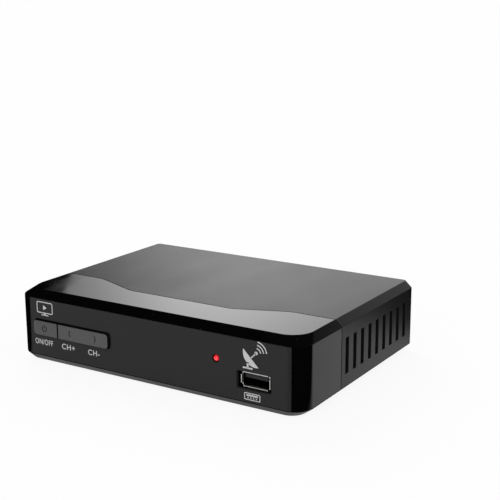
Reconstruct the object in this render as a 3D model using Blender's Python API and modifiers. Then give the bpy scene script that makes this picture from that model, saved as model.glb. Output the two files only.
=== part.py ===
"""Compact satellite television receiver: moulded case, smoked front panel, sprung keys, rear sockets.

Lengths are metres. X runs to the right seen from the front, Y to the back and Z up. The origin is on
the ground under the middle of the whole receiver. A depth is measured back from the front face.
"""

from math import cos, hypot, pi, radians, sin, tan

import bmesh
import bpy
from mathutils import Matrix, Vector

# Case
CASE_WIDTH = 0.150
CASE_DEPTH = 0.104
CASE_HEIGHT = 0.0333
WALL = 0.0020
FRONT_CORNER_RADIUS = 0.0082
TOP_CORNER_RADIUS = 0.0097
REAR_CORNER_RADIUS = 0.0015
CHAMFER_RISE = 0.0030
CHAMFER_FRONT_RUN = 0.0043
CHAMFER_SIDE_RUN = 0.0032

# Fits
SEAT_GAP = 0.0003
KEY_GAP = 0.0004
KEY_SPLIT_GAP = 0.0006
OVERRUN = 0.0020

# Skirt of the bottom shell, with its locating rim
FOOT_REACH = 0.0006
BASE_SEAM_HEIGHT = 0.0034
SKIRT_FRONT_RUN = 0.0019
SKIRT_SIDE_RUN = 0.0035
RIM_RISE = 0.0032
RIM_THICKNESS = 0.0014

# Wavy seam between the glossy front and the satin cover
SEAM_SIDE_DEPTH = 0.0322
SEAM_MIDDLE_DEPTH = 0.0230
SEAM_SHOULDER_X = 0.0510
SEAM_PLATEAU_X = 0.0275
SEAM_ROUNDING = 0.0160
LIP_THICKNESS = 0.0012
LIP_REACH = 0.0030

# Side vents
VENT_FIRST_DEPTH = 0.0374
VENT_PITCH = 0.0072
VENT_WIDTH = 0.0029
VENT_LOW = 0.0089
VENT_TALL = 0.0159
VENT_FROM_REAR = 0.0086

# Floor vents
FLOOR_VENT_WIDTH = 0.0025
FLOOR_VENT_LENGTH = 0.0180
FLOOR_VENT_PITCH = 0.0070
FLOOR_VENT_COUNT = 7

# Front panel
PANEL_THICKNESS = 0.0016
PANEL_WRAP = radians(18.5)
FRONT_WALL = 0.0016

# Keys
KEYS_FROM_SIDE = 0.0102
KEY_OPENING_WIDTH = 0.0437
KEY_OPENING_HEIGHT = 0.0075
KEY_CENTRE_HEIGHT = 0.01685
KEY_CORNER_RADIUS = 0.0015
KEY_INNER_RADIUS = 0.0003
KEY_PROUD = 0.0015
KEY_SKIN = 0.0012
KEY_EDGE_ROUNDING = 0.0003
POWER_KEY_WIDTH = 0.0139
POWER_SKIRT = 0.0016
FLANGE_REACH = 0.0013
FLANGE_THICKNESS = 0.0012
ROCKER_SKIRT_DEPTH = 0.0042
PIVOT_DEPTH = 0.0031
PIVOT_RADIUS = 0.0008
PIVOT_REACH = 0.0018
EAR_THICKNESS = 0.0019
EAR_WIDTH = 0.0044
POWER_NUB_RADIUS = 0.0015
ROCKER_NUB_RADIUS = 0.0010
POWER_FREE_PLAY = 0.0003
ROCKER_FREE_PLAY = 0.00065

# Tact switches on the key board
SWITCH_SIDE = 0.0060
SWITCH_HEIGHT = 0.0035
SWITCH_BEVEL = 0.0005
PLUNGER_RADIUS = 0.00175
PLUNGER_REACH = 0.0015
PLUNGER_WELL = 0.0010
CHANNEL_SWITCH_X = 0.0090
KEY_BOARD_DEPTH = 0.0130
KEY_BOARD_THICKNESS = 0.0016
KEY_BOARD_MARGIN = 0.0040

# Status light
LED_FROM_SIDE = 0.0409
LED_HEIGHT = 0.0193
LED_RADIUS = 0.0015
LED_LENGTH = 0.0050
LED_PROUD = 0.0002
LED_BASE_RADIUS = 0.0019
LED_BASE_LENGTH = 0.0010
SPACER_RADIUS = 0.0020

# Infrared receiver and its window
RECEIVER_WIDTH = 0.0070
RECEIVER_HEIGHT = 0.0080
RECEIVER_THICKNESS = 0.0030
RECEIVER_DOME_RADIUS = 0.0024
WINDOW_WIDTH = 0.0100
WINDOW_HEIGHT = 0.0080
WINDOW_RADIUS = 0.0015

# Main board and its posts
BOARD_UNDERSIDE = 0.00775
BOARD_THICKNESS = 0.0016
BOARD_SIDE_MARGIN = 0.0112
BOARD_FRONT_DEPTH = 0.0062
BOARD_CORNER_RADIUS = 0.0015
POST_RADIUS = 0.0030
POST_HOLE_RADIUS = 0.0015
POST_FROM_SIDE = 0.0170
POST_FRONT_DEPTH = 0.0210
POST_FROM_REAR = 0.0410
BOARD_HOLE_RADIUS = 0.0016

# Screws
SCREW_HEAD_RADIUS = 0.0025
SCREW_HEAD_HEIGHT = 0.0016
SCREW_SHANK_RADIUS = 0.0012
BOARD_SCREW_LENGTH = 0.0050
CASE_SCREW_LENGTH = 0.0090
CASE_SCREW_FROM_SIDE = 0.0075
CASE_SCREW_FRONT_DEPTH = 0.0140
CASE_SCREW_FROM_REAR = 0.0140
CASE_POST_RADIUS = 0.0030
CASE_BOSS_RADIUS = 0.0040
CASE_BOSS_HEIGHT = 0.0040
SCREW_RECESS_CEILING = 0.0016
SLOT_WIDTH = 0.0006
SLOT_DEPTH = 0.0005

# Feet
FOOT_RADIUS = 0.0050
FOOT_HEIGHT = 0.0017
FOOT_EDGE = 0.0004
FOOT_FROM_SIDE = 0.0180
FOOT_FROM_ENDS = 0.0140

# Data port at the front
PORT_FROM_SIDE = 0.0227
PORT_OPENING_WIDTH = 0.0163
PORT_OPENING_HEIGHT = 0.0075
PORT_WIDTH = 0.0131
PORT_HEIGHT = 0.0057
PORT_LENGTH = 0.0140
PORT_SET_BACK = 0.0014
PORT_SHEET = 0.00035
PORT_FLARE = 0.0006
PORT_FLARE_LENGTH = 0.0007
PORT_TONGUE_WIDTH = 0.0111
PORT_TONGUE_THICKNESS = 0.0018
PORT_TONGUE_SET_BACK = 0.0012

# Rear panel
REAR_PANEL_THICKNESS = 0.0010
REAR_PANEL_SET_BACK = 0.0012
REAR_RIDGE_HEIGHT = 0.0022
GUIDE_REACH = 0.0022
GUIDE_THICKNESS = 0.0015
GUIDE_REAR_THICKNESS = 0.0007

# Aerial input
AERIAL_REACH = 0.0100
AERIAL_HEIGHT = 0.0068
AERIAL_BARREL_RADIUS = 0.00475
AERIAL_BORE_RADIUS = 0.0037
AERIAL_COLLAR_RADIUS = 0.0062
AERIAL_COLLAR_LENGTH = 0.0025
AERIAL_CORE_HOLE_RADIUS = 0.0006
AERIAL_CORE_RECESS = 0.0008
AERIAL_NUT_RADIUS = 0.0063
AERIAL_NUT_THICKNESS = 0.0022
TUNER_WIDTH = 0.0260
TUNER_LENGTH = 0.0300
TUNER_HEIGHT = 0.0136
TUNER_LID_THICKNESS = 0.0006
TUNER_LID_OVERHANG = 0.0004

# Sound and picture sockets
JACK_PITCH = 0.0110
JACK_COUNT = 3
JACK_BLOCK_MARGIN = 0.0050
JACK_BLOCK_DEPTH = 0.0100
JACK_BLOCK_HEIGHT = 0.0120
JACK_HEIGHT = 0.0062
JACK_REACH = 0.0080
JACK_BARREL_RADIUS = 0.00415
JACK_BARREL_WALL = 0.0006
JACK_FLANGE_RADIUS = 0.0050
JACK_FLANGE_THICKNESS = 0.0006
JACK_INSERT_HOLE_RADIUS = 0.0016
JACK_INSERT_RECESS = 0.0006
VIDEO_WIDTH = 0.0150
VIDEO_HEIGHT = 0.0056
VIDEO_LENGTH = 0.0115
VIDEO_SHEET = 0.00035
VIDEO_CHAMFER = 0.0016
VIDEO_PROUD = 0.0008
VIDEO_TONGUE_WIDTH = 0.0116
VIDEO_TONGUE_THICKNESS = 0.0010
VIDEO_TONGUE_SET_BACK = 0.0015

# Power inlet
INLET_WIDTH = 0.0090
INLET_HEIGHT = 0.0108
INLET_LENGTH = 0.0140
INLET_AXIS_HEIGHT = 0.0064
INLET_HOLE_RADIUS = 0.0031
INLET_HOLE_DEPTH = 0.0095
INLET_PIN_RADIUS = 0.0010
INLET_NOSE_RADIUS = 0.0042

# Parts on the main board
PROCESSOR_SIDE = 0.0200
PROCESSOR_HEIGHT = 0.0014
HEAT_SINK_SIDE = 0.0280
HEAT_SINK_BASE = 0.0018
HEAT_SINK_HEIGHT = 0.0080
HEAT_SINK_FINS = 8
MEMORY_WIDTH = 0.0080
MEMORY_LENGTH = 0.0130
MEMORY_HEIGHT = 0.0011
FLASH_WIDTH = 0.0052
FLASH_LENGTH = 0.0054
FLASH_HEIGHT = 0.0018
CAPACITOR_RADIUS = 0.0040
CAPACITOR_HEIGHT = 0.0110
CAPACITOR_GROOVE_HEIGHT = 0.0014
CAPACITOR_GROOVE = 0.0003
CAPACITOR_EDGE = 0.0005
INDUCTOR_SIDE = 0.0073
INDUCTOR_HEIGHT = 0.0045
INDUCTOR_BEVEL = 0.0012
CRYSTAL_LENGTH = 0.0110
CRYSTAL_WIDTH = 0.0047
CRYSTAL_HEIGHT = 0.0035
HEADER_LENGTH = 0.0200
HEADER_WIDTH = 0.0025
HEADER_HEIGHT = 0.0025

MEMORY_CLEARANCE = 0.0018
FLASH_CLEARANCE = 0.0050
CRYSTAL_CLEARANCE = 0.0028

# Places on the main board, as shares of its half width and of its length from the front edge
TUNER_X_SHARE = 0.690
INLET_X_SHARE = -0.860
VIDEO_X_SHARE = -0.530
JACKS_X_SHARE = 0.050
PROCESSOR_PLACE_SHARES = (-0.080, 0.480)
MEMORY_DEPTH_SHARES = (0.400, 0.570)
FLASH_DEPTH_SHARE = 0.360
CAPACITOR_PLACE_SHARES = ((-0.720, 0.660), (-0.550, 0.660), (0.420, 0.200))
INDUCTOR_PLACE_SHARES = (-0.720, 0.420)
CRYSTAL_DEPTH_SHARE = 0.520

# Roundness of turned and rounded shapes
CORNER_SEGMENTS = 10
SEAM_SEGMENTS = 5
SMALL_CORNER_SEGMENTS = 4
WRAP_SEGMENTS = 4
DOME_SEGMENTS = 4
ROUND_SIDES = 24
MEDIUM_ROUND_SIDES = 16
SMALL_ROUND_SIDES = 12
HEX_SIDES = 6
SHARP_ANGLE = radians(35.0)
FLAT_ANGLE = radians(0.1)
WELD = 0.00001

# Levels and planes that several parts share
TOTAL_DEPTH = KEY_PROUD + CASE_DEPTH + AERIAL_REACH
FRONT_Y = KEY_PROUD - TOTAL_DEPTH / 2
HALF_WIDTH = CASE_WIDTH / 2
VENT_RUN = CASE_DEPTH - VENT_FROM_REAR - VENT_FIRST_DEPTH
VENT_COUNT = int(VENT_RUN / VENT_PITCH) + 1
FLOOR_TOP = BASE_SEAM_HEIGHT - SEAT_GAP
RIM_TOP = FLOOR_TOP + RIM_RISE
PANEL_TOP = CASE_HEIGHT - CHAMFER_RISE
FRONT_SKIN = PANEL_THICKNESS + SEAT_GAP + FRONT_WALL
LIP_SKIN = WALL + SEAT_GAP
LIP_INNER_SKIN = LIP_SKIN + LIP_THICKNESS
BOARD_TOP = BOARD_UNDERSIDE + BOARD_THICKNESS
ON_BOARD = BOARD_TOP + SEAT_GAP
REAR_PANEL_BACK = CASE_DEPTH - REAR_PANEL_SET_BACK
REAR_PANEL_FRONT = REAR_PANEL_BACK - REAR_PANEL_THICKNESS
BOARD_REAR_DEPTH = REAR_PANEL_FRONT - 2 * SEAT_GAP
SOCKET_FACE = REAR_PANEL_FRONT - SEAT_GAP
BOARD_HALF = HALF_WIDTH - BOARD_SIDE_MARGIN
BOARD_LENGTH = BOARD_REAR_DEPTH - BOARD_FRONT_DEPTH
KEYS_LEFT = KEYS_FROM_SIDE - HALF_WIDTH
KEYS_RIGHT = KEYS_LEFT + KEY_OPENING_WIDTH
KEY_HEIGHT = KEY_OPENING_HEIGHT - 2 * KEY_GAP
KEY_LOW = KEY_CENTRE_HEIGHT - KEY_HEIGHT / 2
KEY_HIGH = KEY_CENTRE_HEIGHT + KEY_HEIGHT / 2
POWER_LEFT = KEYS_LEFT + KEY_GAP
POWER_RIGHT = POWER_LEFT + POWER_KEY_WIDTH
POWER_X = (POWER_LEFT + POWER_RIGHT) / 2
ROCKER_LEFT = POWER_RIGHT + KEY_SPLIT_GAP
ROCKER_RIGHT = KEYS_RIGHT - KEY_GAP
ROCKER_X = (ROCKER_LEFT + ROCKER_RIGHT) / 2
SWITCH_BACK = KEY_BOARD_DEPTH - SEAT_GAP
SWITCH_FACE = SWITCH_BACK - SWITCH_HEIGHT
PLUNGER_FACE = SWITCH_FACE - PLUNGER_REACH
LED_X = HALF_WIDTH - LED_FROM_SIDE
PORT_X = HALF_WIDTH - PORT_FROM_SIDE
PORT_HEIGHT_CENTRE = ON_BOARD + PORT_HEIGHT / 2
RECEIVER_X = (KEYS_RIGHT + LED_X) / 2
TUNER_X = TUNER_X_SHARE * BOARD_HALF
INLET_X = INLET_X_SHARE * BOARD_HALF
VIDEO_X = VIDEO_X_SHARE * BOARD_HALF
JACKS_X = JACKS_X_SHARE * BOARD_HALF
HEAT_SINK_X = PROCESSOR_PLACE_SHARES[0] * BOARD_HALF
HEAT_SINK_LEFT = HEAT_SINK_X - HEAT_SINK_SIDE / 2
HEAT_SINK_RIGHT = HEAT_SINK_X + HEAT_SINK_SIDE / 2
MEMORY_X = HEAT_SINK_RIGHT + MEMORY_CLEARANCE + MEMORY_LENGTH / 2
FLASH_X = HEAT_SINK_LEFT - FLASH_CLEARANCE - FLASH_WIDTH / 2
CRYSTAL_X = HEAT_SINK_LEFT - CRYSTAL_CLEARANCE - CRYSTAL_WIDTH / 2
CASE_SCREW_X = HALF_WIDTH - CASE_SCREW_FROM_SIDE
CASE_SCREW_DEPTHS = (CASE_SCREW_FRONT_DEPTH, CASE_DEPTH - CASE_SCREW_FROM_REAR)
CASE_BOSS_TOP = FOOT_REACH + CASE_BOSS_HEIGHT
RECESS_TOP = CASE_BOSS_TOP - SCREW_RECESS_CEILING
SCREW_RECESS_RADIUS = SCREW_HEAD_RADIUS + SEAT_GAP
SCREW_HOLE_RADIUS = SCREW_SHANK_RADIUS + SEAT_GAP
POST_X = HALF_WIDTH - POST_FROM_SIDE
POST_DEPTHS = (POST_FRONT_DEPTH, CASE_DEPTH - POST_FROM_REAR)


def depth(distance):
    """World Y of a plane that lies a distance behind the front face."""
    return FRONT_Y + distance


def start_scene():
    """Empty the scene and make the two collections that the model uses."""
    for obj in list(bpy.data.objects):
        bpy.data.objects.remove(obj)
    collections = []
    for name in ("satellite_receiver", "cutters"):
        collection = bpy.data.collections.new(name)
        bpy.context.scene.collection.children.link(collection)
        collections.append(collection)
    return collections


PARTS, CUTTERS = start_scene()


def material(name, colour, roughness, metallic=0.0):
    """A plain surface of one colour."""
    made = bpy.data.materials.new(name)
    made.use_nodes = True
    shader = made.node_tree.nodes["Principled BSDF"]
    shader.inputs["Base Color"].default_value = (*colour, 1.0)
    shader.inputs["Roughness"].default_value = roughness
    shader.inputs["Metallic"].default_value = metallic
    made.diffuse_color = (*colour, 1.0)
    return made


GLOSS_BLACK = material("gloss_black", (0.012, 0.012, 0.013), 0.08)
SATIN_BLACK = material("satin_black", (0.020, 0.020, 0.021), 0.42)
SMOKED_PANEL = material("smoked_panel", (0.018, 0.018, 0.019), 0.12)
KEY_GREY = material("key_grey", (0.080, 0.080, 0.082), 0.35)
RED_LENS = material("red_lens", (0.800, 0.020, 0.025), 0.20)
DARK_LENS = material("dark_lens", (0.015, 0.012, 0.018), 0.15)
BLACK_PLASTIC = material("black_plastic", (0.018, 0.018, 0.018), 0.50)
WHITE_PLASTIC = material("white_plastic", (0.780, 0.770, 0.740), 0.45)
YELLOW_PLASTIC = material("yellow_plastic", (0.800, 0.600, 0.030), 0.45)
RED_PLASTIC = material("red_plastic", (0.620, 0.030, 0.030), 0.45)
GREEN_BOARD = material("green_board", (0.020, 0.140, 0.050), 0.40)
TINNED_STEEL = material("tinned_steel", (0.600, 0.600, 0.590), 0.30, 1.0)
BRIGHT_METAL = material("bright_metal", (0.720, 0.720, 0.710), 0.18, 1.0)
SCREW_STEEL = material("screw_steel", (0.060, 0.060, 0.065), 0.35, 1.0)
BARE_ALUMINIUM = material("bare_aluminium", (0.700, 0.700, 0.710), 0.35, 1.0)
FERRITE = material("ferrite", (0.090, 0.085, 0.080), 0.60)
RUBBER = material("rubber", (0.025, 0.025, 0.025), 0.80)


def place(mesh, name, finish):
    """Put a mesh in the scene: a part if it has a finish, otherwise a hidden cutter."""
    obj = bpy.data.objects.new(name, mesh)
    if finish is None:
        CUTTERS.objects.link(obj)
        obj.hide_render = True
        obj.display_type = "WIRE"
    else:
        PARTS.objects.link(obj)
        mesh.materials.append(finish)
    return obj


def placed(form, name, finish):
    """Turn a bmesh into an object, smooth but for its real edges."""
    bmesh.ops.recalc_face_normals(form, faces=form.faces)
    mesh = bpy.data.meshes.new(name)
    form.to_mesh(mesh)
    form.free()
    mesh.shade_smooth()
    mesh.set_sharp_from_angle(angle=SHARP_ANGLE)
    return place(mesh, name, finish)


def rounded_path(corners, segments, closed=True):
    """Points of an outline whose corners are (x, y, radius); an open one has plain ends."""
    points = []
    for index, (x, y, radius) in enumerate(corners):
        corner = Vector((x, y))
        if radius == 0:
            points.append(corner)
            continue
        before = Vector(corners[index - 1][:2]) - corner
        after = Vector(corners[(index + 1) % len(corners)][:2]) - corner
        before.normalize()
        after.normalize()
        opening = before.angle(after)
        start = corner + before * (radius / tan(opening / 2))
        centre = corner + (before + after).normalized() * (radius / sin(opening / 2))
        turn = (pi - opening) * (1 if before.cross(after) < 0 else -1)
        spoke = start - centre
        for step in range(segments + 1):
            points.append(centre + Matrix.Rotation(turn * step / segments, 2) @ spoke)
    return points


def rounded_rectangle(left, right, low, high, radius, segments=SMALL_CORNER_SEGMENTS):
    """Outline of a rectangle with four equal corners."""
    corners = [(left, low, radius), (right, low, radius), (right, high, radius), (left, high, radius)]
    return rounded_path(corners, segments)


def circle(x, y, radius, sides=ROUND_SIDES):
    """Outline of a round hole or disc."""
    angles = [2 * pi * step / sides for step in range(sides)]
    return [Vector((x + radius * cos(angle), y + radius * sin(angle))) for angle in angles]


def plate(name, outlines, low, high, finish=None, upright=False):
    """A flat outline, with any holes inside it, made solid between two levels of Z.

    An upright plate's outline is in X and Z, and its two levels are in Y.
    """
    curve = bpy.data.curves.new(name, "CURVE")
    curve.dimensions = "2D"
    curve.fill_mode = "BOTH"
    curve.extrude = (high - low) / 2
    for outline in outlines:
        spline = curve.splines.new("POLY")
        spline.points.add(len(outline) - 1)
        for point, (x, y) in zip(spline.points, outline):
            point.co = (x, y, 0, 1)
        spline.use_cyclic_u = True
    guide = bpy.data.objects.new(name, curve)
    PARTS.objects.link(guide)
    if upright:
        guide.matrix_world = Matrix.Translation((0, (low + high) / 2, 0)) @ Matrix.Rotation(pi / 2, 4, "X")
    else:
        guide.matrix_world = Matrix.Translation((0, 0, (low + high) / 2))
    bpy.context.view_layer.update()
    solid = guide.evaluated_get(bpy.context.evaluated_depsgraph_get())
    mesh = bpy.data.meshes.new_from_object(solid)
    form = bmesh.new()
    form.from_mesh(mesh)
    form.transform(guide.matrix_world)
    bmesh.ops.remove_doubles(form, verts=form.verts, dist=WELD)
    bmesh.ops.dissolve_limit(form, angle_limit=FLAT_ANGLE, verts=form.verts, edges=form.edges)
    bpy.data.meshes.remove(mesh)
    bpy.data.objects.remove(guide)
    bpy.data.curves.remove(curve)
    return placed(form, name, finish)


def loft(name, rings, finish=None, upright=False):
    """A solid skinned over rings of equal count, each a list of points and its level.

    An upright loft's rings are in X and Z, and their levels are in Y.
    """
    form = bmesh.new()
    loops = []
    for outline, level in rings:
        places = [(x, level, z) if upright else (x, z, level) for x, z in outline]
        loops.append([form.verts.new(place) for place in places])
    for lower, upper in zip(loops, loops[1:]):
        for index in range(len(lower)):
            following = (index + 1) % len(lower)
            form.faces.new((lower[index], lower[following], upper[following], upper[index]))
    form.faces.new(loops[0])
    form.faces.new(loops[-1])
    return placed(form, name, finish)


def box(name, low, high, finish=None, bevel=0.0):
    """A block between two opposite corners, with its edges cut back by the bevel."""
    low = Vector(low)
    high = Vector(high)
    form = bmesh.new()
    matrix = Matrix.Translation((low + high) / 2) @ Matrix.Diagonal((*(high - low), 1))
    bmesh.ops.create_cube(form, size=1, matrix=matrix)
    if bevel:
        bmesh.ops.bevel(form, geom=form.edges, offset=bevel, segments=1, profile=0.5, affect="EDGES")
    return placed(form, name, finish)


def cylinder(name, foot, radius, length, finish=None, sides=ROUND_SIDES, upright=True):
    """A round bar from its foot along Z, or along Y when it isn't upright."""
    turn = Matrix() if upright else Matrix.Rotation(-pi / 2, 4, "X")
    matrix = Matrix.Translation(foot) @ turn @ Matrix.Translation((0, 0, length / 2))
    form = bmesh.new()
    bmesh.ops.create_cone(
        form, cap_ends=True, segments=sides, radius1=radius, radius2=radius, depth=length, matrix=matrix
    )
    return placed(form, name, finish)


def small_bar(name, foot, radius, length, upright=True):
    """A thin round bar or hole cutter of few sides."""
    return cylinder(name, foot, radius, length, None, SMALL_ROUND_SIDES, upright)


def turned(name, profile, foot, finish, sides=ROUND_SIDES, along=None):
    """A turned solid: (radius, height) points listed down the outer side, on Z or along another axis."""
    mesh = bpy.data.meshes.new(name)
    points = [(radius, 0, height) for radius, height in profile]
    edges = [(index, index + 1) for index in range(len(points) - 1)]
    if profile[0][0] > 0 and profile[-1][0] > 0:
        edges.append((len(points) - 1, 0))
    mesh.from_pydata(points, edges, [])
    obj = place(mesh, name, finish)
    obj.matrix_world = Matrix.Translation(foot) @ (along or Matrix())
    screw = obj.modifiers.new("turn", "SCREW")
    screw.steps = sides
    screw.render_steps = sides
    screw.use_merge_vertices = True
    screw.merge_threshold = WELD
    screw.use_smooth_shade = True
    return obj


TO_REAR = Matrix.Rotation(-pi / 2, 4, "X")
TO_FRONT = Matrix.Rotation(pi / 2, 4, "X")
DOWNWARD = Matrix.Rotation(pi, 4, "X")


def combine(target, other, operation):
    """Cut, join or crop one object with another, which then serves as a hidden cutter."""
    if other.name in PARTS.objects:
        PARTS.objects.unlink(other)
        CUTTERS.objects.link(other)
    other.hide_render = True
    other.display_type = "WIRE"
    modifier = target.modifiers.new(f"{operation.lower()} {other.name}"[:60], "BOOLEAN")
    modifier.operation = operation
    modifier.solver = "EXACT"
    modifier.object = other
    return target


def cut(target, *others):
    """Cut each of the others from the target."""
    for other in others:
        combine(target, other, "DIFFERENCE")
    return target


def join(target, *others):
    """Join each of the others to the target."""
    for other in others:
        combine(target, other, "UNION")
    return target


def grid_of_boxes(name, corners):
    """Many separate blocks in one cutter."""
    form = bmesh.new()
    for low, high in corners:
        low = Vector(low)
        high = Vector(high)
        matrix = Matrix.Translation((low + high) / 2) @ Matrix.Diagonal((*(high - low), 1))
        bmesh.ops.create_cube(form, size=1, matrix=matrix)
    return placed(form, name, None)


def case_outline(side, front, rear, front_radius, rear_radius):
    """Outline of the case seen from above, drawn in by its three insets."""
    half = HALF_WIDTH - side
    corners = [
        (-half, depth(front), front_radius),
        (half, depth(front), front_radius),
        (half, depth(CASE_DEPTH - rear), rear_radius),
        (-half, depth(CASE_DEPTH - rear), rear_radius),
    ]
    return rounded_path(corners, CORNER_SEGMENTS)


def chamfer_offset(run, skin):
    """Drop of the chamfer's lower edge, and inset of its upper edge, a skin inside the outer form."""
    slope = hypot(run, CHAMFER_RISE)
    drop = skin * run / slope - CHAMFER_RISE * skin * (1 - CHAMFER_RISE / slope) / run
    along = 1 + skin * (run / slope - 1) / CHAMFER_RISE
    return drop, skin * CHAMFER_RISE / slope + run * along


def case_form(name, skin, front_skin, base, finish=None):
    """The case's outer form, or one that lies a skin inside it and runs out past its open rear."""
    drop, side_inset = chamfer_offset(CHAMFER_SIDE_RUN, skin)
    _, front_inset = chamfer_offset(CHAMFER_FRONT_RUN, skin)
    front_inset = max(front_inset, front_skin + SEAT_GAP)
    rear = 0 if skin == 0 else -OVERRUN
    rear_radius = REAR_CORNER_RADIUS if skin == 0 else 0
    radius = FRONT_CORNER_RADIUS - front_skin
    lower = case_outline(skin, front_skin, rear, radius, rear_radius)
    upper = case_outline(side_inset, front_inset, rear, TOP_CORNER_RADIUS - skin, rear_radius)
    rings = [(lower, base), (lower, PANEL_TOP - drop), (upper, CASE_HEIGHT - skin)]
    return loft(name, rings, finish)


def seam_curve(shift):
    """The wavy seam from right to left, moved back by a shift."""
    half = HALF_WIDTH + OVERRUN
    side = depth(SEAM_SIDE_DEPTH + shift)
    middle = depth(SEAM_MIDDLE_DEPTH + shift)
    corners = [
        (half, side, 0),
        (SEAM_SHOULDER_X, side, SEAM_ROUNDING),
        (SEAM_PLATEAU_X, middle, SEAM_ROUNDING),
        (-SEAM_PLATEAU_X, middle, SEAM_ROUNDING),
        (-SEAM_SHOULDER_X, side, SEAM_ROUNDING),
        (-half, side, 0),
    ]
    return rounded_path(corners, SEAM_SEGMENTS)


def front_zone(name, shift):
    """All that lies in front of the seam moved back by a shift."""
    half = HALF_WIDTH + OVERRUN
    near = depth(-OVERRUN)
    outline = [Vector((-half, near)), Vector((half, near)), *seam_curve(shift)]
    return plate(name, [outline], -OVERRUN, CASE_HEIGHT + OVERRUN)


def panel_band(outer_inset, inner_inset, wrap):
    """Plan of a strip along the front that wraps round both corners by an angle."""
    paths = []
    for inset in (outer_inset, inner_inset):
        radius = FRONT_CORNER_RADIUS - inset
        centre_x = HALF_WIDTH - FRONT_CORNER_RADIUS
        centre_y = depth(FRONT_CORNER_RADIUS)
        angles = [wrap * step / WRAP_SEGMENTS for step in range(WRAP_SEGMENTS + 1)]
        right = [Vector((centre_x + radius * sin(a), centre_y - radius * cos(a))) for a in angles]
        left = [Vector((-point.x, point.y)) for point in reversed(right)]
        paths.append(left + right)
    return paths[0] + paths[1][::-1]


def mirrored_places(x, depths):
    """The four places at plus and minus x and at each depth."""
    return [(side * x, depth(place)) for place in depths for side in (-1, 1)]


def key_opening(name, near, far):
    """Cutter of the opening that all keys share."""
    outline = rounded_rectangle(
        KEYS_LEFT,
        KEYS_RIGHT,
        KEY_LOW - KEY_GAP,
        KEY_HIGH + KEY_GAP,
        KEY_CORNER_RADIUS,
    )
    return plate(name, [outline], depth(near), depth(far), upright=True)


def port_opening(name, near, far):
    """Cutter of the opening in front of the data port."""
    half_height = PORT_OPENING_HEIGHT / 2
    outline = rounded_rectangle(
        PORT_X - PORT_OPENING_WIDTH / 2,
        PORT_X + PORT_OPENING_WIDTH / 2,
        PORT_HEIGHT_CENTRE - half_height,
        PORT_HEIGHT_CENTRE + half_height,
        KEY_INNER_RADIUS,
    )
    return plate(name, [outline], depth(near), depth(far), upright=True)


def led_opening(name, near, far):
    """Cutter of the status light's hole."""
    foot = (LED_X, depth(near), LED_HEIGHT)
    return cylinder(name, foot, LED_RADIUS + SEAT_GAP, far - near, upright=False)


def make_top_cover():
    """Satin cover: top, sides with vents, tucked lip, screw posts and guides for the rear panel."""
    cover = case_form("top_cover", 0, 0, BASE_SEAM_HEIGHT, SATIN_BLACK)
    cut(cover, front_zone("cover_front_cut", SEAT_GAP))
    lip = case_form("cover_lip", LIP_SKIN, WALL, RIM_TOP)
    band = [*seam_curve(-LIP_REACH), *reversed(seam_curve(LIP_REACH + OVERRUN))]
    combine(lip, plate("lip_band", [band], 0, CASE_HEIGHT + OVERRUN), "INTERSECT")
    root = case_form("cover_lip_root", WALL / 2, WALL, RIM_TOP)
    band = [*seam_curve(SEAT_GAP), *reversed(seam_curve(LIP_REACH + OVERRUN))]
    combine(root, plate("root_band", [band], 0, CASE_HEIGHT + OVERRUN), "INTERSECT")
    join(cover, lip, root)
    cut(cover, case_form("cover_inside_lip", LIP_INNER_SKIN, WALL, -OVERRUN))
    behind = case_form("cover_inside", WALL, WALL, -OVERRUN)
    cut(behind, front_zone("cover_inside_front", LIP_REACH))
    cut(cover, behind)
    low_room = [case_outline(WALL, WALL, -OVERRUN, FRONT_CORNER_RADIUS - WALL, 0)]
    cut(cover, plate("cover_rim_room", low_room, -OVERRUN, RIM_TOP + SEAT_GAP))
    posts = mirrored_places(CASE_SCREW_X, CASE_SCREW_DEPTHS[1:])
    add_case_posts(cover, "cover", posts)
    add_panel_guides(cover)
    slots = []
    for index in range(VENT_COUNT):
        near = depth(VENT_FIRST_DEPTH + index * VENT_PITCH - VENT_WIDTH / 2)
        for side in (-1, 1):
            edges = sorted((side * (HALF_WIDTH + OVERRUN), side * (HALF_WIDTH - WALL - SEAT_GAP)))
            low = (edges[0], near, VENT_LOW)
            high = (edges[1], near + VENT_WIDTH, VENT_LOW + VENT_TALL)
            slots.append((low, high))
    cut(cover, grid_of_boxes("side_vents", slots))
    return cover


def add_case_posts(shell, name, places):
    """Hang screw posts with pilot holes from the inside of a shell's top."""
    top = CASE_HEIGHT - WALL / 2
    low = CASE_BOSS_TOP + SEAT_GAP
    pilot = CASE_SCREW_LENGTH + SEAT_GAP - SCREW_RECESS_CEILING
    for index, (x, y) in enumerate(places):
        label = f"{name}_post_{index + 1}"
        join(shell, small_bar(label, (x, y, low), CASE_POST_RADIUS, top - low))
        foot = (x, y, low - OVERRUN)
        cut(shell, small_bar(f"{label}_hole", foot, SCREW_HOLE_RADIUS, pilot + OVERRUN))


def add_panel_guides(cover):
    """Ribs on the side walls, before and behind the rear panel's ends."""
    low = RIM_TOP + 2 * SEAT_GAP
    high = PANEL_TOP - WALL
    outer = HALF_WIDTH - WALL + SEAT_GAP
    inner = HALF_WIDTH - WALL - GUIDE_REACH
    near = REAR_PANEL_FRONT - SEAT_GAP
    far = REAR_PANEL_BACK + SEAT_GAP
    blocks = []
    for side in (-1, 1):
        left, right = sorted((side * outer, side * inner))
        blocks.append(((left, depth(near - GUIDE_THICKNESS), low), (right, depth(near), high)))
        blocks.append(((left, depth(far), low), (right, depth(far + GUIDE_REAR_THICKNESS), high)))
    join(cover, grid_of_boxes("panel_guides", blocks))


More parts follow.
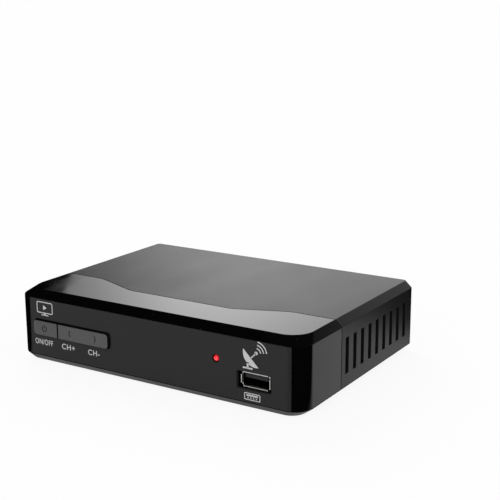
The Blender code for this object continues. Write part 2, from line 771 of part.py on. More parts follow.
def make_front_bezel():
    """Glossy front: wavy rear edge, pocket for the panel, openings, pivot ears and screw posts."""
    bezel = case_form("front_bezel", 0, 0, BASE_SEAM_HEIGHT, GLOSS_BLACK)
    combine(bezel, front_zone("bezel_zone", 0), "INTERSECT")
    cut(bezel, case_form("bezel_inside", WALL, FRONT_SKIN, -OVERRUN))
    wrap = PANEL_WRAP + SEAT_GAP / FRONT_CORNER_RADIUS
    pocket = panel_band(-OVERRUN, PANEL_THICKNESS + SEAT_GAP, wrap)
    cut(bezel, plate("panel_pocket", [pocket], -OVERRUN, PANEL_TOP))
    for side, label in ((-1, "lower"), (1, "upper")):
        edge = KEY_CENTRE_HEIGHT + side * KEY_HEIGHT / 2
        tip = edge + side * PIVOT_REACH
        levels = sorted((edge, tip + side * (SEAT_GAP + EAR_THICKNESS)))
        low = (ROCKER_X - EAR_WIDTH / 2, depth(FRONT_SKIN - FRONT_WALL / 2), levels[0])
        high = (ROCKER_X + EAR_WIDTH / 2, depth(FRONT_SKIN + EAR_THICKNESS), levels[1])
        join(bezel, box(f"{label}_pivot_ear", low, high))
    room = PIVOT_RADIUS + SEAT_GAP
    half = KEY_HEIGHT / 2 + PIVOT_REACH + SEAT_GAP
    low = (ROCKER_X - room, depth(PANEL_THICKNESS / 2), KEY_CENTRE_HEIGHT - half)
    high = (ROCKER_X + room, depth(PIVOT_DEPTH + room), KEY_CENTRE_HEIGHT + half)
    cut(bezel, box("pivot_notch", low, high))
    back = FRONT_SKIN + EAR_THICKNESS + OVERRUN
    cut(bezel, key_opening("bezel_key_cut", -OVERRUN, back))
    cut(bezel, port_opening("bezel_port_cut", -OVERRUN, back))
    cut(bezel, led_opening("bezel_led_cut", -OVERRUN, back))
    window = rounded_rectangle(
        RECEIVER_X - WINDOW_WIDTH / 2,
        RECEIVER_X + WINDOW_WIDTH / 2,
        LED_HEIGHT - WINDOW_HEIGHT / 2,
        LED_HEIGHT + WINDOW_HEIGHT / 2,
        WINDOW_RADIUS,
    )
    cut(bezel, plate("receiver_window", [window], depth(-OVERRUN), depth(back), upright=True))
    places = mirrored_places(CASE_SCREW_X, CASE_SCREW_DEPTHS[:1])
    add_case_posts(bezel, "bezel", places)
    return bezel


def make_front_panel():
    """Smoked panel that wraps a little round both front corners."""
    outline = panel_band(0, PANEL_THICKNESS, PANEL_WRAP)
    panel = plate("front_panel", [outline], BASE_SEAM_HEIGHT, PANEL_TOP - SEAT_GAP, SMOKED_PANEL)
    back = PANEL_THICKNESS + OVERRUN
    cut(panel, key_opening("panel_key_cut", -OVERRUN, back))
    cut(panel, port_opening("panel_port_cut", -OVERRUN, back))
    cut(panel, led_opening("panel_led_cut", -OVERRUN, back))
    return panel


def make_bottom_shell():
    """Chamfered tray: floor with vents, locating rim, board posts, screw bosses and foot recesses."""
    lower = case_outline(
        SKIRT_SIDE_RUN,
        SKIRT_FRONT_RUN,
        SKIRT_FRONT_RUN,
        FRONT_CORNER_RADIUS - SKIRT_FRONT_RUN,
        REAR_CORNER_RADIUS,
    )
    upper = case_outline(0, 0, 0, FRONT_CORNER_RADIUS, REAR_CORNER_RADIUS)
    shell = loft("bottom_shell", [(lower, FOOT_REACH), (upper, FLOOR_TOP)], SATIN_BLACK)
    side = LIP_SKIN
    front = FRONT_SKIN + SEAT_GAP
    rear = CASE_DEPTH - REAR_PANEL_FRONT + SEAT_GAP
    radius = FRONT_CORNER_RADIUS - front
    inner_radius = radius - RIM_THICKNESS
    outer_path = case_outline(side, front, rear, radius, RIM_THICKNESS + SEAT_GAP)
    thick = RIM_THICKNESS
    inner_path = case_outline(side + thick, front + thick, rear + thick, inner_radius, SEAT_GAP)
    base = FLOOR_TOP - WALL / 2
    join(shell, plate("locating_rim", [outer_path, inner_path], base, RIM_TOP))
    ridge_low = (-(HALF_WIDTH - LIP_SKIN), depth(REAR_PANEL_BACK + SEAT_GAP), base)
    ridge_depth = REAR_PANEL_BACK + SEAT_GAP + GUIDE_REAR_THICKNESS
    ridge_high = (HALF_WIDTH - LIP_SKIN, depth(ridge_depth), FLOOR_TOP + REAR_RIDGE_HEIGHT)
    join(shell, box("rear_ridge", ridge_low, ridge_high))
    for index, (x, y) in enumerate(mirrored_places(POST_X, POST_DEPTHS)):
        label = f"board_post_{index + 1}"
        tall = BOARD_UNDERSIDE - SEAT_GAP - base
        join(shell, small_bar(label, (x, y, base), POST_RADIUS, tall))
        foot = (x, y, FLOOR_TOP)
        cut(shell, small_bar(f"{label}_hole", foot, POST_HOLE_RADIUS, BOARD_UNDERSIDE - FLOOR_TOP))
    for index, (x, y) in enumerate(mirrored_places(CASE_SCREW_X, CASE_SCREW_DEPTHS)):
        label = f"case_boss_{index + 1}"
        tall = CASE_BOSS_TOP - base
        join(shell, small_bar(label, (x, y, base), CASE_BOSS_RADIUS, tall))
        foot = (x, y, FOOT_REACH - OVERRUN)
        recess = RECESS_TOP - FOOT_REACH + OVERRUN
        cut(shell, small_bar(f"{label}_recess", foot, SCREW_RECESS_RADIUS, recess))
        through = CASE_BOSS_HEIGHT + 2 * OVERRUN
        cut(shell, small_bar(f"{label}_hole", foot, SCREW_HOLE_RADIUS, through))
    for index, (x, y) in enumerate(foot_places()):
        foot = (x, y, FOOT_REACH - OVERRUN)
        recess = FOOT_HEIGHT + SEAT_GAP - FOOT_REACH + OVERRUN
        cut(shell, cylinder(f"foot_recess_{index + 1}", foot, FOOT_RADIUS + SEAT_GAP, recess))
    slots = []
    middle = CASE_DEPTH / 2
    for index in range(FLOOR_VENT_COUNT):
        x = (index - (FLOOR_VENT_COUNT - 1) / 2) * FLOOR_VENT_PITCH
        for side in (-1, 1):
            edge = side * FLOOR_VENT_PITCH / 2
            near, far = sorted((edge, edge + side * FLOOR_VENT_LENGTH))
            low = (x - FLOOR_VENT_WIDTH / 2, depth(middle + near), FOOT_REACH - OVERRUN)
            high = (x + FLOOR_VENT_WIDTH / 2, depth(middle + far), FLOOR_TOP + OVERRUN)
            slots.append((low, high))
    cut(shell, grid_of_boxes("floor_vents", slots))
    return shell


def foot_places():
    """Centres of the four feet."""
    return mirrored_places(HALF_WIDTH - FOOT_FROM_SIDE, (FOOT_FROM_ENDS, CASE_DEPTH - FOOT_FROM_ENDS))


def make_feet():
    """Rubber discs in their recesses, with the ground edge turned in."""
    profile = [
        (0, FOOT_HEIGHT),
        (FOOT_RADIUS, FOOT_HEIGHT),
        (FOOT_RADIUS, FOOT_EDGE),
        (FOOT_RADIUS - FOOT_EDGE, 0),
        (0, 0),
    ]
    for index, (x, y) in enumerate(foot_places()):
        turned(f"rubber_foot_{index + 1}", profile, (x, y, 0), RUBBER)


def make_screw(name, foot, length, along):
    """Pan-head screw with a slot; its head's seat is at the foot and its shank runs the other way."""
    head = SCREW_HEAD_HEIGHT
    profile = [
        (0, head),
        (SCREW_HEAD_RADIUS / 2, head),
        (SCREW_HEAD_RADIUS, head / 2),
        (SCREW_HEAD_RADIUS, 0),
        (SCREW_SHANK_RADIUS, 0),
        (SCREW_SHANK_RADIUS, SCREW_SHANK_RADIUS - length),
        (0, -length),
    ]
    screw = turned(name, profile, foot, SCREW_STEEL, SMALL_ROUND_SIDES, along)
    low = (-SCREW_HEAD_RADIUS, -SLOT_WIDTH / 2, head - SLOT_DEPTH)
    high = (SCREW_HEAD_RADIUS, SLOT_WIDTH / 2, head + OVERRUN)
    slot = box(f"{name}_slot", low, high)
    slot.matrix_world = screw.matrix_world.copy()
    cut(screw, slot)


def make_screws():
    """Four screws hold the board, and four from below hold the case together."""
    for index, (x, y) in enumerate(mirrored_places(POST_X, POST_DEPTHS)):
        make_screw(f"board_screw_{index + 1}", (x, y, ON_BOARD), BOARD_SCREW_LENGTH, Matrix())
    for index, (x, y) in enumerate(mirrored_places(CASE_SCREW_X, CASE_SCREW_DEPTHS)):
        seat = RECESS_TOP - SEAT_GAP
        make_screw(f"case_screw_{index + 1}", (x, y, seat), CASE_SCREW_LENGTH, DOWNWARD)


def key_cap(name, left, right, back, left_radius, right_radius):
    """Hollow cap whose face stands proud of the panel, with rounded face edges."""
    corners = [
        (left, KEY_LOW, left_radius),
        (right, KEY_LOW, right_radius),
        (right, KEY_HIGH, right_radius),
        (left, KEY_HIGH, left_radius),
    ]
    face = depth(-KEY_PROUD)
    outline = rounded_path(corners, SMALL_CORNER_SEGMENTS)
    cap = plate(name, [outline], face, depth(back), KEY_GREY, upright=True)
    form = bmesh.new()
    form.from_mesh(cap.data)
    rim = [e for e in form.edges if all(abs(v.co.y - face) < WELD for v in e.verts)]
    bmesh.ops.bevel(
        form, geom=rim, offset=KEY_EDGE_ROUNDING, segments=2, profile=0.5, affect="EDGES", material=-1
    )
    form.to_mesh(cap.data)
    form.free()
    inside = rounded_rectangle(
        left + KEY_SKIN,
        right - KEY_SKIN,
        KEY_LOW + KEY_SKIN,
        KEY_HIGH - KEY_SKIN,
        KEY_INNER_RADIUS,
    )
    hollow = plate(f"{name}_hollow", [inside], face + KEY_SKIN, depth(back + OVERRUN), upright=True)
    return cut(cap, hollow)


def key_nub(name, x, radius, tip):
    """Peg inside a cap that reaches back to a switch."""
    near = KEY_SKIN / 2 - KEY_PROUD
    foot = (x, depth(near), KEY_CENTRE_HEIGHT)
    return small_bar(name, foot, radius, tip - near, upright=False)


def on_axis(obj, point):
    """Move an object's origin to a point of its joint's axis, leaving its shape where it is."""
    obj.data.transform(Matrix.Translation(-Vector(point)))
    obj.location = point


def make_power_key():
    """Push key with a flange that stops it behind the front wall."""
    back = FRONT_SKIN + POWER_SKIRT
    key = key_cap("power_key", POWER_LEFT, POWER_RIGHT, back, KEY_CORNER_RADIUS, KEY_INNER_RADIUS)
    reach = KEY_GAP + FLANGE_REACH
    inset = KEY_SKIN / 2
    left = POWER_LEFT - reach
    low = KEY_LOW - reach
    high = KEY_HIGH + reach
    hole = rounded_rectangle(
        POWER_LEFT + inset,
        POWER_RIGHT - inset,
        KEY_LOW + inset,
        KEY_HIGH - inset,
        KEY_INNER_RADIUS,
    )
    outline = rounded_rectangle(left, POWER_RIGHT, low, high, KEY_INNER_RADIUS)
    near = depth(FRONT_SKIN + SEAT_GAP)
    join(key, plate("power_key_flange", [outline, hole], near, near + FLANGE_THICKNESS, upright=True))
    join(key, key_nub("power_key_nub", POWER_X, POWER_NUB_RADIUS, PLUNGER_FACE - POWER_FREE_PLAY))
    on_axis(key, (POWER_X, depth(0), KEY_CENTRE_HEIGHT))


def make_channel_rocker():
    """One cap that tilts either way about an upright pivot, with a nub for each switch."""
    rocker = key_cap(
        "channel_rocker",
        ROCKER_LEFT,
        ROCKER_RIGHT,
        ROCKER_SKIRT_DEPTH,
        KEY_INNER_RADIUS,
        KEY_CORNER_RADIUS,
    )
    for side, end in ((-1, KEY_LOW), (1, KEY_HIGH)):
        start, stop = sorted((end - side * KEY_SKIN, end + side * PIVOT_REACH))
        foot = (ROCKER_X, depth(PIVOT_DEPTH), start)
        join(rocker, small_bar(f"rocker_pin_{side}", foot, PIVOT_RADIUS, stop - start))
        tip = PLUNGER_FACE - ROCKER_FREE_PLAY
        x = ROCKER_X + side * CHANNEL_SWITCH_X
        join(rocker, key_nub(f"rocker_nub_{side}", x, ROCKER_NUB_RADIUS, tip))
    on_axis(rocker, (ROCKER_X, depth(PIVOT_DEPTH), KEY_CENTRE_HEIGHT))


def make_switches():
    """Three tact switches, each a body and a plunger."""
    places = {
        "power_switch": POWER_X,
        "channel_up_switch": ROCKER_X - CHANNEL_SWITCH_X,
        "channel_down_switch": ROCKER_X + CHANNEL_SWITCH_X,
    }
    half = SWITCH_SIDE / 2
    for name, x in places.items():
        low = (x - half, depth(SWITCH_FACE), KEY_CENTRE_HEIGHT - half)
        high = (x + half, depth(SWITCH_BACK), KEY_CENTRE_HEIGHT + half)
        body = box(f"{name}_body", low, high, BLACK_PLASTIC, SWITCH_BEVEL)
        well = PLUNGER_WELL + 2 * SEAT_GAP
        foot = (x, depth(SWITCH_FACE - OVERRUN), KEY_CENTRE_HEIGHT)
        radius = PLUNGER_RADIUS + SEAT_GAP
        cut(body, cylinder(f"{name}_well", foot, radius, well + OVERRUN, upright=False))
        foot = (x, depth(PLUNGER_FACE), KEY_CENTRE_HEIGHT)
        length = PLUNGER_REACH + PLUNGER_WELL
        bar = (foot, PLUNGER_RADIUS, length, WHITE_PLASTIC, MEDIUM_ROUND_SIDES)
        on_axis(cylinder(f"{name}_plunger", *bar, upright=False), foot)


def make_key_board():
    """Upright board behind the front wall, standing on the main board."""
    left = POWER_X - SWITCH_SIDE / 2 - KEY_BOARD_MARGIN / 2
    right = LED_X + KEY_BOARD_MARGIN
    outline = rounded_rectangle(left, right, ON_BOARD, LED_HEIGHT + KEY_BOARD_MARGIN, KEY_INNER_RADIUS)
    far = depth(KEY_BOARD_DEPTH + KEY_BOARD_THICKNESS)
    plate("key_board", [outline], depth(KEY_BOARD_DEPTH), far, GREEN_BOARD, upright=True)
    near = KEY_BOARD_DEPTH + KEY_BOARD_THICKNESS + SEAT_GAP
    x = (left + right) / 2
    low = (x - HEADER_LENGTH / 2, depth(near), ON_BOARD)
    high = (x + HEADER_LENGTH / 2, depth(near + HEADER_WIDTH), ON_BOARD + HEADER_HEIGHT)
    box("board_link_header", low, high, BLACK_PLASTIC, KEY_INNER_RADIUS)


def make_status_light():
    """Red lens through the panel, on a spacer from the key board."""
    shoulder = LED_PROUD + LED_LENGTH
    profile = [(0, shoulder)]
    dome = LED_RADIUS / 2
    for step in range(1, DOME_SEGMENTS + 1):
        angle = pi / 2 * step / DOME_SEGMENTS
        profile.append((LED_RADIUS * sin(angle), shoulder - dome + dome * cos(angle)))
    profile += [
        (LED_RADIUS, 0),
        (LED_BASE_RADIUS, 0),
        (LED_BASE_RADIUS, -LED_BASE_LENGTH),
        (0, -LED_BASE_LENGTH),
    ]
    turned("status_light", profile, (LED_X, depth(LED_LENGTH), LED_HEIGHT), RED_LENS, ROUND_SIDES, TO_FRONT)
    near = LED_LENGTH + LED_BASE_LENGTH + SEAT_GAP
    foot = (LED_X, depth(near), LED_HEIGHT)
    length = KEY_BOARD_DEPTH - SEAT_GAP - near
    bar = (foot, SPACER_RADIUS, length, BLACK_PLASTIC, MEDIUM_ROUND_SIDES)
    cylinder("status_light_spacer", *bar, upright=False)


def make_infrared_receiver():
    """Block with a round lens that looks out through the smoked panel."""
    back = KEY_BOARD_DEPTH - SEAT_GAP
    face = depth(back - RECEIVER_THICKNESS)
    half = RECEIVER_WIDTH / 2
    tall = RECEIVER_HEIGHT / 2
    low = (RECEIVER_X - half, face, LED_HEIGHT - tall)
    high = (RECEIVER_X + half, depth(back), LED_HEIGHT + tall)
    receiver = box("infrared_receiver", low, high, DARK_LENS, KEY_INNER_RADIUS)
    angles = [pi / 2 * step / DOME_SEGMENTS for step in range(DOME_SEGMENTS + 1)]
    radius = RECEIVER_DOME_RADIUS
    profile = [(radius * sin(angle), radius * cos(angle)) for angle in angles]
    profile.append((radius, -RECEIVER_THICKNESS / 2))
    profile.append((0, -RECEIVER_THICKNESS / 2))
    foot = (RECEIVER_X, face, LED_HEIGHT)
    join(receiver, turned("receiver_dome", profile, foot, None, MEDIUM_ROUND_SIDES, TO_FRONT))


def make_main_board():
    """Board with the four screw holes."""
    outline = rounded_rectangle(
        -BOARD_HALF,
        BOARD_HALF,
        depth(BOARD_FRONT_DEPTH),
        depth(BOARD_REAR_DEPTH),
        BOARD_CORNER_RADIUS,
    )
    places = mirrored_places(POST_X, POST_DEPTHS)
    holes = [circle(x, y, BOARD_HOLE_RADIUS, SMALL_ROUND_SIDES) for x, y in places]
    plate("main_board", [outline, *holes], BOARD_UNDERSIDE, BOARD_TOP, GREEN_BOARD)


def frame_outline(x, z, width, height, inset, chamfer):
    """Outline of a socket's sheet shell, with its two lower corners cut."""
    half = width / 2 - inset
    tall = height / 2 - inset
    return [
        Vector((x - half + chamfer, z - tall)),
        Vector((x + half - chamfer, z - tall)),
        Vector((x + half, z - tall + chamfer)),
        Vector((x + half, z + tall)),
        Vector((x - half, z + tall)),
        Vector((x - half, z - tall + chamfer)),
    ]


def make_data_port():
    """Front data port: sheet shell with a flared mouth, closed at the back, and its tongue."""
    near = PORT_SET_BACK
    far = near + PORT_LENGTH
    x = PORT_X
    z = PORT_HEIGHT_CENTRE
    outer = rounded_rectangle(
        x - PORT_WIDTH / 2, x + PORT_WIDTH / 2, z - PORT_HEIGHT / 2, z + PORT_HEIGHT / 2, PORT_SHEET
    )
    shell = plate("data_port_shell", [outer], depth(near), depth(far), BRIGHT_METAL, upright=True)
    mouth = []
    for step, reach in ((0, PORT_FLARE - PORT_SHEET), (PORT_FLARE_LENGTH, 0)):
        half_x = PORT_WIDTH / 2 + reach
        half_z = PORT_HEIGHT / 2 + min(reach, PORT_SHEET / 2)
        outline = rounded_rectangle(x - half_x, x + half_x, z - half_z, z + half_z, PORT_SHEET)
        mouth.append((outline, depth(near + step)))
    join(shell, loft("port_flare", mouth, upright=True))
    room = rounded_rectangle(
        x - PORT_WIDTH / 2 + PORT_SHEET,
        x + PORT_WIDTH / 2 - PORT_SHEET,
        z - PORT_HEIGHT / 2 + PORT_SHEET,
        z + PORT_HEIGHT / 2 - PORT_SHEET,
        PORT_SHEET / 2,
    )
    cut(shell, plate("port_room", [room], depth(near - OVERRUN), depth(far - PORT_SHEET), upright=True))
    top = z + PORT_HEIGHT / 2 - 2 * PORT_SHEET
    low = (x - PORT_TONGUE_WIDTH / 2, depth(near + PORT_TONGUE_SET_BACK), top - PORT_TONGUE_THICKNESS)
    high = (x + PORT_TONGUE_WIDTH / 2, depth(far - PORT_SHEET - SEAT_GAP), top)
    box("data_port_tongue", low, high, BLACK_PLASTIC)


def make_video_socket():
    """Rear digital video socket: sheet shell with cut lower corners, and its tongue."""
    far = REAR_PANEL_BACK + VIDEO_PROUD
    near = far - VIDEO_LENGTH
    z = ON_BOARD + VIDEO_HEIGHT / 2
    outer = frame_outline(VIDEO_X, z, VIDEO_WIDTH, VIDEO_HEIGHT, 0, VIDEO_CHAMFER)
    shell = plate("video_socket_shell", [outer], depth(near), depth(far), BRIGHT_METAL, upright=True)
    chamfer = VIDEO_CHAMFER - VIDEO_SHEET / 2
    room = frame_outline(VIDEO_X, z, VIDEO_WIDTH, VIDEO_HEIGHT, VIDEO_SHEET, chamfer)
    cut(shell, plate("video_room", [room], depth(near + VIDEO_SHEET), depth(far + OVERRUN), upright=True))
    half = VIDEO_TONGUE_THICKNESS / 2
    low = (VIDEO_X - VIDEO_TONGUE_WIDTH / 2, depth(near + VIDEO_SHEET + SEAT_GAP), z - half)
    high = (VIDEO_X + VIDEO_TONGUE_WIDTH / 2, depth(far - VIDEO_TONGUE_SET_BACK), z + half)
    box("video_socket_tongue", low, high, BLACK_PLASTIC)


def make_rear_panel():
    """Panel held between the shells, with a hole for each socket."""
    _, inset = chamfer_offset(CHAMFER_SIDE_RUN, LIP_SKIN)
    drop, _ = chamfer_offset(CHAMFER_SIDE_RUN, LIP_SKIN)
    half = HALF_WIDTH - LIP_SKIN
    high = CASE_HEIGHT - LIP_SKIN
    outline = [
        Vector((-half, BASE_SEAM_HEIGHT)),
        Vector((half, BASE_SEAM_HEIGHT)),
        Vector((half, PANEL_TOP - drop)),
        Vector((HALF_WIDTH - inset, high)),
        Vector((inset - HALF_WIDTH, high)),
        Vector((-half, PANEL_TOP - drop)),
    ]
    gap = SEAT_GAP
    video_z = ON_BOARD + VIDEO_HEIGHT / 2
    jack_z = ON_BOARD + JACK_HEIGHT
    holes = [
        circle(TUNER_X, ON_BOARD + AERIAL_HEIGHT, AERIAL_BARREL_RADIUS + gap),
        circle(INLET_X, ON_BOARD + INLET_AXIS_HEIGHT, INLET_NOSE_RADIUS + gap),
        frame_outline(VIDEO_X, video_z, VIDEO_WIDTH, VIDEO_HEIGHT, -gap, VIDEO_CHAMFER),
    ]
    holes += [circle(x, jack_z, JACK_BARREL_RADIUS + gap) for x in jack_places()]
    near = depth(REAR_PANEL_FRONT)
    plate("rear_panel", [outline, *holes], near, depth(REAR_PANEL_BACK), BLACK_PLASTIC, upright=True)


def jack_places():
    """X of each sound and picture jack, from left to right."""
    return [JACKS_X + (index - (JACK_COUNT - 1) / 2) * JACK_PITCH for index in range(JACK_COUNT)]


def make_aerial_input():
    """Tuner can with its lid edge, threaded barrel, insulating core and outside nut."""
    far = SOCKET_FACE - AERIAL_COLLAR_LENGTH - SEAT_GAP
    near = far - TUNER_LENGTH
    top = ON_BOARD + TUNER_HEIGHT
    half = TUNER_WIDTH / 2
    low = (TUNER_X - half, depth(near), ON_BOARD)
    high = (TUNER_X + half, depth(far), top - TUNER_LID_THICKNESS / 2)
    can = box("tuner_can", low, high, TINNED_STEEL)
    over = TUNER_LID_OVERHANG
    low = (TUNER_X - half - over, depth(near - over), top - TUNER_LID_THICKNESS)
    high = (TUNER_X + half + over, depth(far + over / 2), top)
    join(can, box("tuner_lid", low, high))
    z = ON_BOARD + AERIAL_HEIGHT
    tip = CASE_DEPTH + AERIAL_REACH - SOCKET_FACE
    profile = [
        (AERIAL_BARREL_RADIUS - over, tip),
        (AERIAL_BARREL_RADIUS, tip - over),
        (AERIAL_BARREL_RADIUS, 0),
        (AERIAL_COLLAR_RADIUS, 0),
        (AERIAL_COLLAR_RADIUS, -AERIAL_COLLAR_LENGTH),
        (AERIAL_BORE_RADIUS, -AERIAL_COLLAR_LENGTH),
        (AERIAL_BORE_RADIUS, tip),
    ]
    foot = (TUNER_X, depth(SOCKET_FACE), z)
    turned("aerial_socket_barrel", profile, foot, BRIGHT_METAL, ROUND_SIDES, TO_REAR)
    radius = AERIAL_BORE_RADIUS - SEAT_GAP
    face = tip - AERIAL_CORE_RECESS
    profile = [
        (radius, face),
        (radius, -AERIAL_COLLAR_LENGTH),
        (AERIAL_CORE_HOLE_RADIUS, -AERIAL_COLLAR_LENGTH),
        (AERIAL_CORE_HOLE_RADIUS, face),
    ]
    turned("aerial_socket_core", profile, foot, WHITE_PLASTIC, ROUND_SIDES, TO_REAR)
    near = REAR_PANEL_BACK + SEAT_GAP
    hexagon = circle(TUNER_X, z, AERIAL_NUT_RADIUS, HEX_SIDES)
    hole = circle(TUNER_X, z, AERIAL_BARREL_RADIUS + SEAT_GAP)
    far = depth(near + AERIAL_NUT_THICKNESS)
    plate("aerial_socket_nut", [hexagon, hole], depth(near), far, BRIGHT_METAL, upright=True)


def make_av_jacks():
    """Three round jacks on one block: metal barrels with coloured cores."""
    places = jack_places()
    far = SOCKET_FACE - JACK_FLANGE_THICKNESS - SEAT_GAP
    z = ON_BOARD + JACK_HEIGHT
    low = (places[0] - JACK_BLOCK_MARGIN, depth(far - JACK_BLOCK_DEPTH), ON_BOARD)
    high = (places[-1] + JACK_BLOCK_MARGIN, depth(far), ON_BOARD + JACK_BLOCK_HEIGHT)
    box("jack_block", low, high, BLACK_PLASTIC, KEY_INNER_RADIUS)
    tip = REAR_PANEL_BACK + JACK_REACH - SOCKET_FACE
    inner = JACK_BARREL_RADIUS - JACK_BARREL_WALL
    barrel = [
        (JACK_BARREL_RADIUS, tip),
        (JACK_BARREL_RADIUS, 0),
        (JACK_FLANGE_RADIUS, 0),
        (JACK_FLANGE_RADIUS, -JACK_FLANGE_THICKNESS),
        (inner, -JACK_FLANGE_THICKNESS),
        (inner, tip),
    ]
    core_radius = inner - SEAT_GAP
    face = tip - JACK_INSERT_RECESS
    core = [
        (core_radius, face),
        (core_radius, -JACK_FLANGE_THICKNESS),
        (JACK_INSERT_HOLE_RADIUS, -JACK_FLANGE_THICKNESS),
        (JACK_INSERT_HOLE_RADIUS, face),
    ]
    names = ("right_sound", "left_sound", "picture")
    colours = (RED_PLASTIC, WHITE_PLASTIC, YELLOW_PLASTIC)
    for name, colour, x in zip(names, colours, places):
        foot = (x, depth(SOCKET_FACE), z)
        turned(f"{name}_jack_barrel", barrel, foot, BRIGHT_METAL, ROUND_SIDES, TO_REAR)
        turned(f"{name}_jack_core", core, foot, colour, MEDIUM_ROUND_SIDES, TO_REAR)


def make_power_inlet():
    """Block with a round nose in the rear panel, and the contact pin inside it."""
    far = SOCKET_FACE
    z = ON_BOARD + INLET_AXIS_HEIGHT
    low = (INLET_X - INLET_WIDTH / 2, depth(far - INLET_LENGTH), ON_BOARD)
    high = (INLET_X + INLET_WIDTH / 2, depth(far), ON_BOARD + INLET_HEIGHT)
    body = box("power_inlet_body", low, high, BLACK_PLASTIC, KEY_INNER_RADIUS)
    nose = REAR_PANEL_BACK - far
    foot = (INLET_X, depth(far - OVERRUN), z)
    join(body, cylinder("inlet_nose", foot, INLET_NOSE_RADIUS, nose + OVERRUN, upright=False))
    start = REAR_PANEL_BACK - INLET_HOLE_DEPTH
    foot = (INLET_X, depth(start), z)
    length = INLET_HOLE_DEPTH + OVERRUN
    cut(body, cylinder("inlet_hole", foot, INLET_HOLE_RADIUS, length, upright=False))
    foot = (INLET_X, depth(start + SEAT_GAP), z)
    length = INLET_HOLE_DEPTH - 2 * SEAT_GAP
    bar = (foot, INLET_PIN_RADIUS, length, BRIGHT_METAL, SMALL_ROUND_SIDES)
    cylinder("power_inlet_pin", *bar, upright=False)


def along_board(share):
    """World Y of a place given as a share of the board's length."""
    return depth(BOARD_FRONT_DEPTH + share * BOARD_LENGTH)


def board_place(shares):
    """World X and Y of a place given as shares of the board."""
    x_share, depth_share = shares
    return x_share * BOARD_HALF, along_board(depth_share)


def chip(name, x, y, size, finish, bevel):
    """A block of a width, length and height that stands on the board."""
    width, length, height = size
    low = (x - width / 2, y - length / 2, ON_BOARD)
    high = (x + width / 2, y + length / 2, ON_BOARD + height)
    box(name, low, high, finish, bevel)


def make_heat_sink():
    """Finned block on the processor, a comb outline made solid."""
    y = along_board(PROCESSOR_PLACE_SHARES[1])
    base = ON_BOARD + PROCESSOR_HEIGHT + SEAT_GAP
    pitch = HEAT_SINK_SIDE / (2 * HEAT_SINK_FINS - 1)
    outline = [Vector((HEAT_SINK_LEFT, base)), Vector((HEAT_SINK_RIGHT, base))]
    for fin in reversed(range(HEAT_SINK_FINS)):
        near = HEAT_SINK_LEFT + 2 * fin * pitch
        outline.append(Vector((near + pitch, base + HEAT_SINK_HEIGHT)))
        outline.append(Vector((near, base + HEAT_SINK_HEIGHT)))
        if fin:
            outline.append(Vector((near, base + HEAT_SINK_BASE)))
            outline.append(Vector((near - pitch, base + HEAT_SINK_BASE)))
    half = HEAT_SINK_SIDE / 2
    plate("heat_sink", [outline], y - half, y + half, BARE_ALUMINIUM, upright=True)


def make_capacitors():
    """Upright cans with a crimp groove near the foot."""
    radius = CAPACITOR_RADIUS
    groove = CAPACITOR_GROOVE_HEIGHT
    profile = [
        (0, CAPACITOR_HEIGHT),
        (radius - CAPACITOR_EDGE, CAPACITOR_HEIGHT),
        (radius, CAPACITOR_HEIGHT - CAPACITOR_EDGE),
        (radius, groove + CAPACITOR_GROOVE),
        (radius - CAPACITOR_GROOVE, groove),
        (radius, groove - CAPACITOR_GROOVE),
        (radius, 0),
        (0, 0),
    ]
    for index, shares in enumerate(CAPACITOR_PLACE_SHARES):
        x, y = board_place(shares)
        foot = (x, y, ON_BOARD)
        turned(f"filter_capacitor_{index + 1}", profile, foot, BLACK_PLASTIC, MEDIUM_ROUND_SIDES)


def make_board_parts():
    """The parts that stand on the main board."""
    bevel = KEY_INNER_RADIUS
    size = (PROCESSOR_SIDE, PROCESSOR_SIDE, PROCESSOR_HEIGHT)
    y = along_board(PROCESSOR_PLACE_SHARES[1])
    chip("processor", HEAT_SINK_X, y, size, BLACK_PLASTIC, bevel)
    make_heat_sink()
    size = (MEMORY_LENGTH, MEMORY_WIDTH, MEMORY_HEIGHT)
    for index, share in enumerate(MEMORY_DEPTH_SHARES):
        y = along_board(share)
        chip(f"memory_chip_{index + 1}", MEMORY_X, y, size, BLACK_PLASTIC, bevel / 2)
    size = (FLASH_WIDTH, FLASH_LENGTH, FLASH_HEIGHT)
    chip("flash_chip", FLASH_X, along_board(FLASH_DEPTH_SHARE), size, BLACK_PLASTIC, bevel)
    make_capacitors()
    size = (INDUCTOR_SIDE, INDUCTOR_SIDE, INDUCTOR_HEIGHT)
    chip("power_inductor", *board_place(INDUCTOR_PLACE_SHARES), size, FERRITE, INDUCTOR_BEVEL)
    y = along_board(CRYSTAL_DEPTH_SHARE)
    outline = rounded_rectangle(
        CRYSTAL_X - CRYSTAL_WIDTH / 2,
        CRYSTAL_X + CRYSTAL_WIDTH / 2,
        y - CRYSTAL_LENGTH / 2,
        y + CRYSTAL_LENGTH / 2,
        CRYSTAL_WIDTH / 2 - KEY_INNER_RADIUS,
    )
    plate("crystal_can", [outline], ON_BOARD, ON_BOARD + CRYSTAL_HEIGHT, TINNED_STEEL)


def main():
    """Build the receiver from the case inwards."""
    make_bottom_shell()
    make_top_cover()
    make_front_bezel()
    make_front_panel()
    make_rear_panel()
    make_power_key()
    make_channel_rocker()
    make_switches()
    make_key_board()
    make_status_light()
    make_infrared_receiver()
    make_main_board()
    make_data_port()
    make_aerial_input()
    make_video_socket()
    make_av_jacks()
    make_power_inlet()
    make_board_parts()
    make_screws()
    make_feet()


main()
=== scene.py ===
"""Looks of a satellite television receiver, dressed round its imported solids.

Lengths are metres. X runs to the right seen from the front, Y to the back and Z up.
"""

import logging
from collections.abc import Callable, Iterable, Sequence
from dataclasses import dataclass
from enum import Enum
from math import cos, pi, radians, sin, sqrt, tan

import bmesh
import bpy
from mathutils import Matrix, Vector


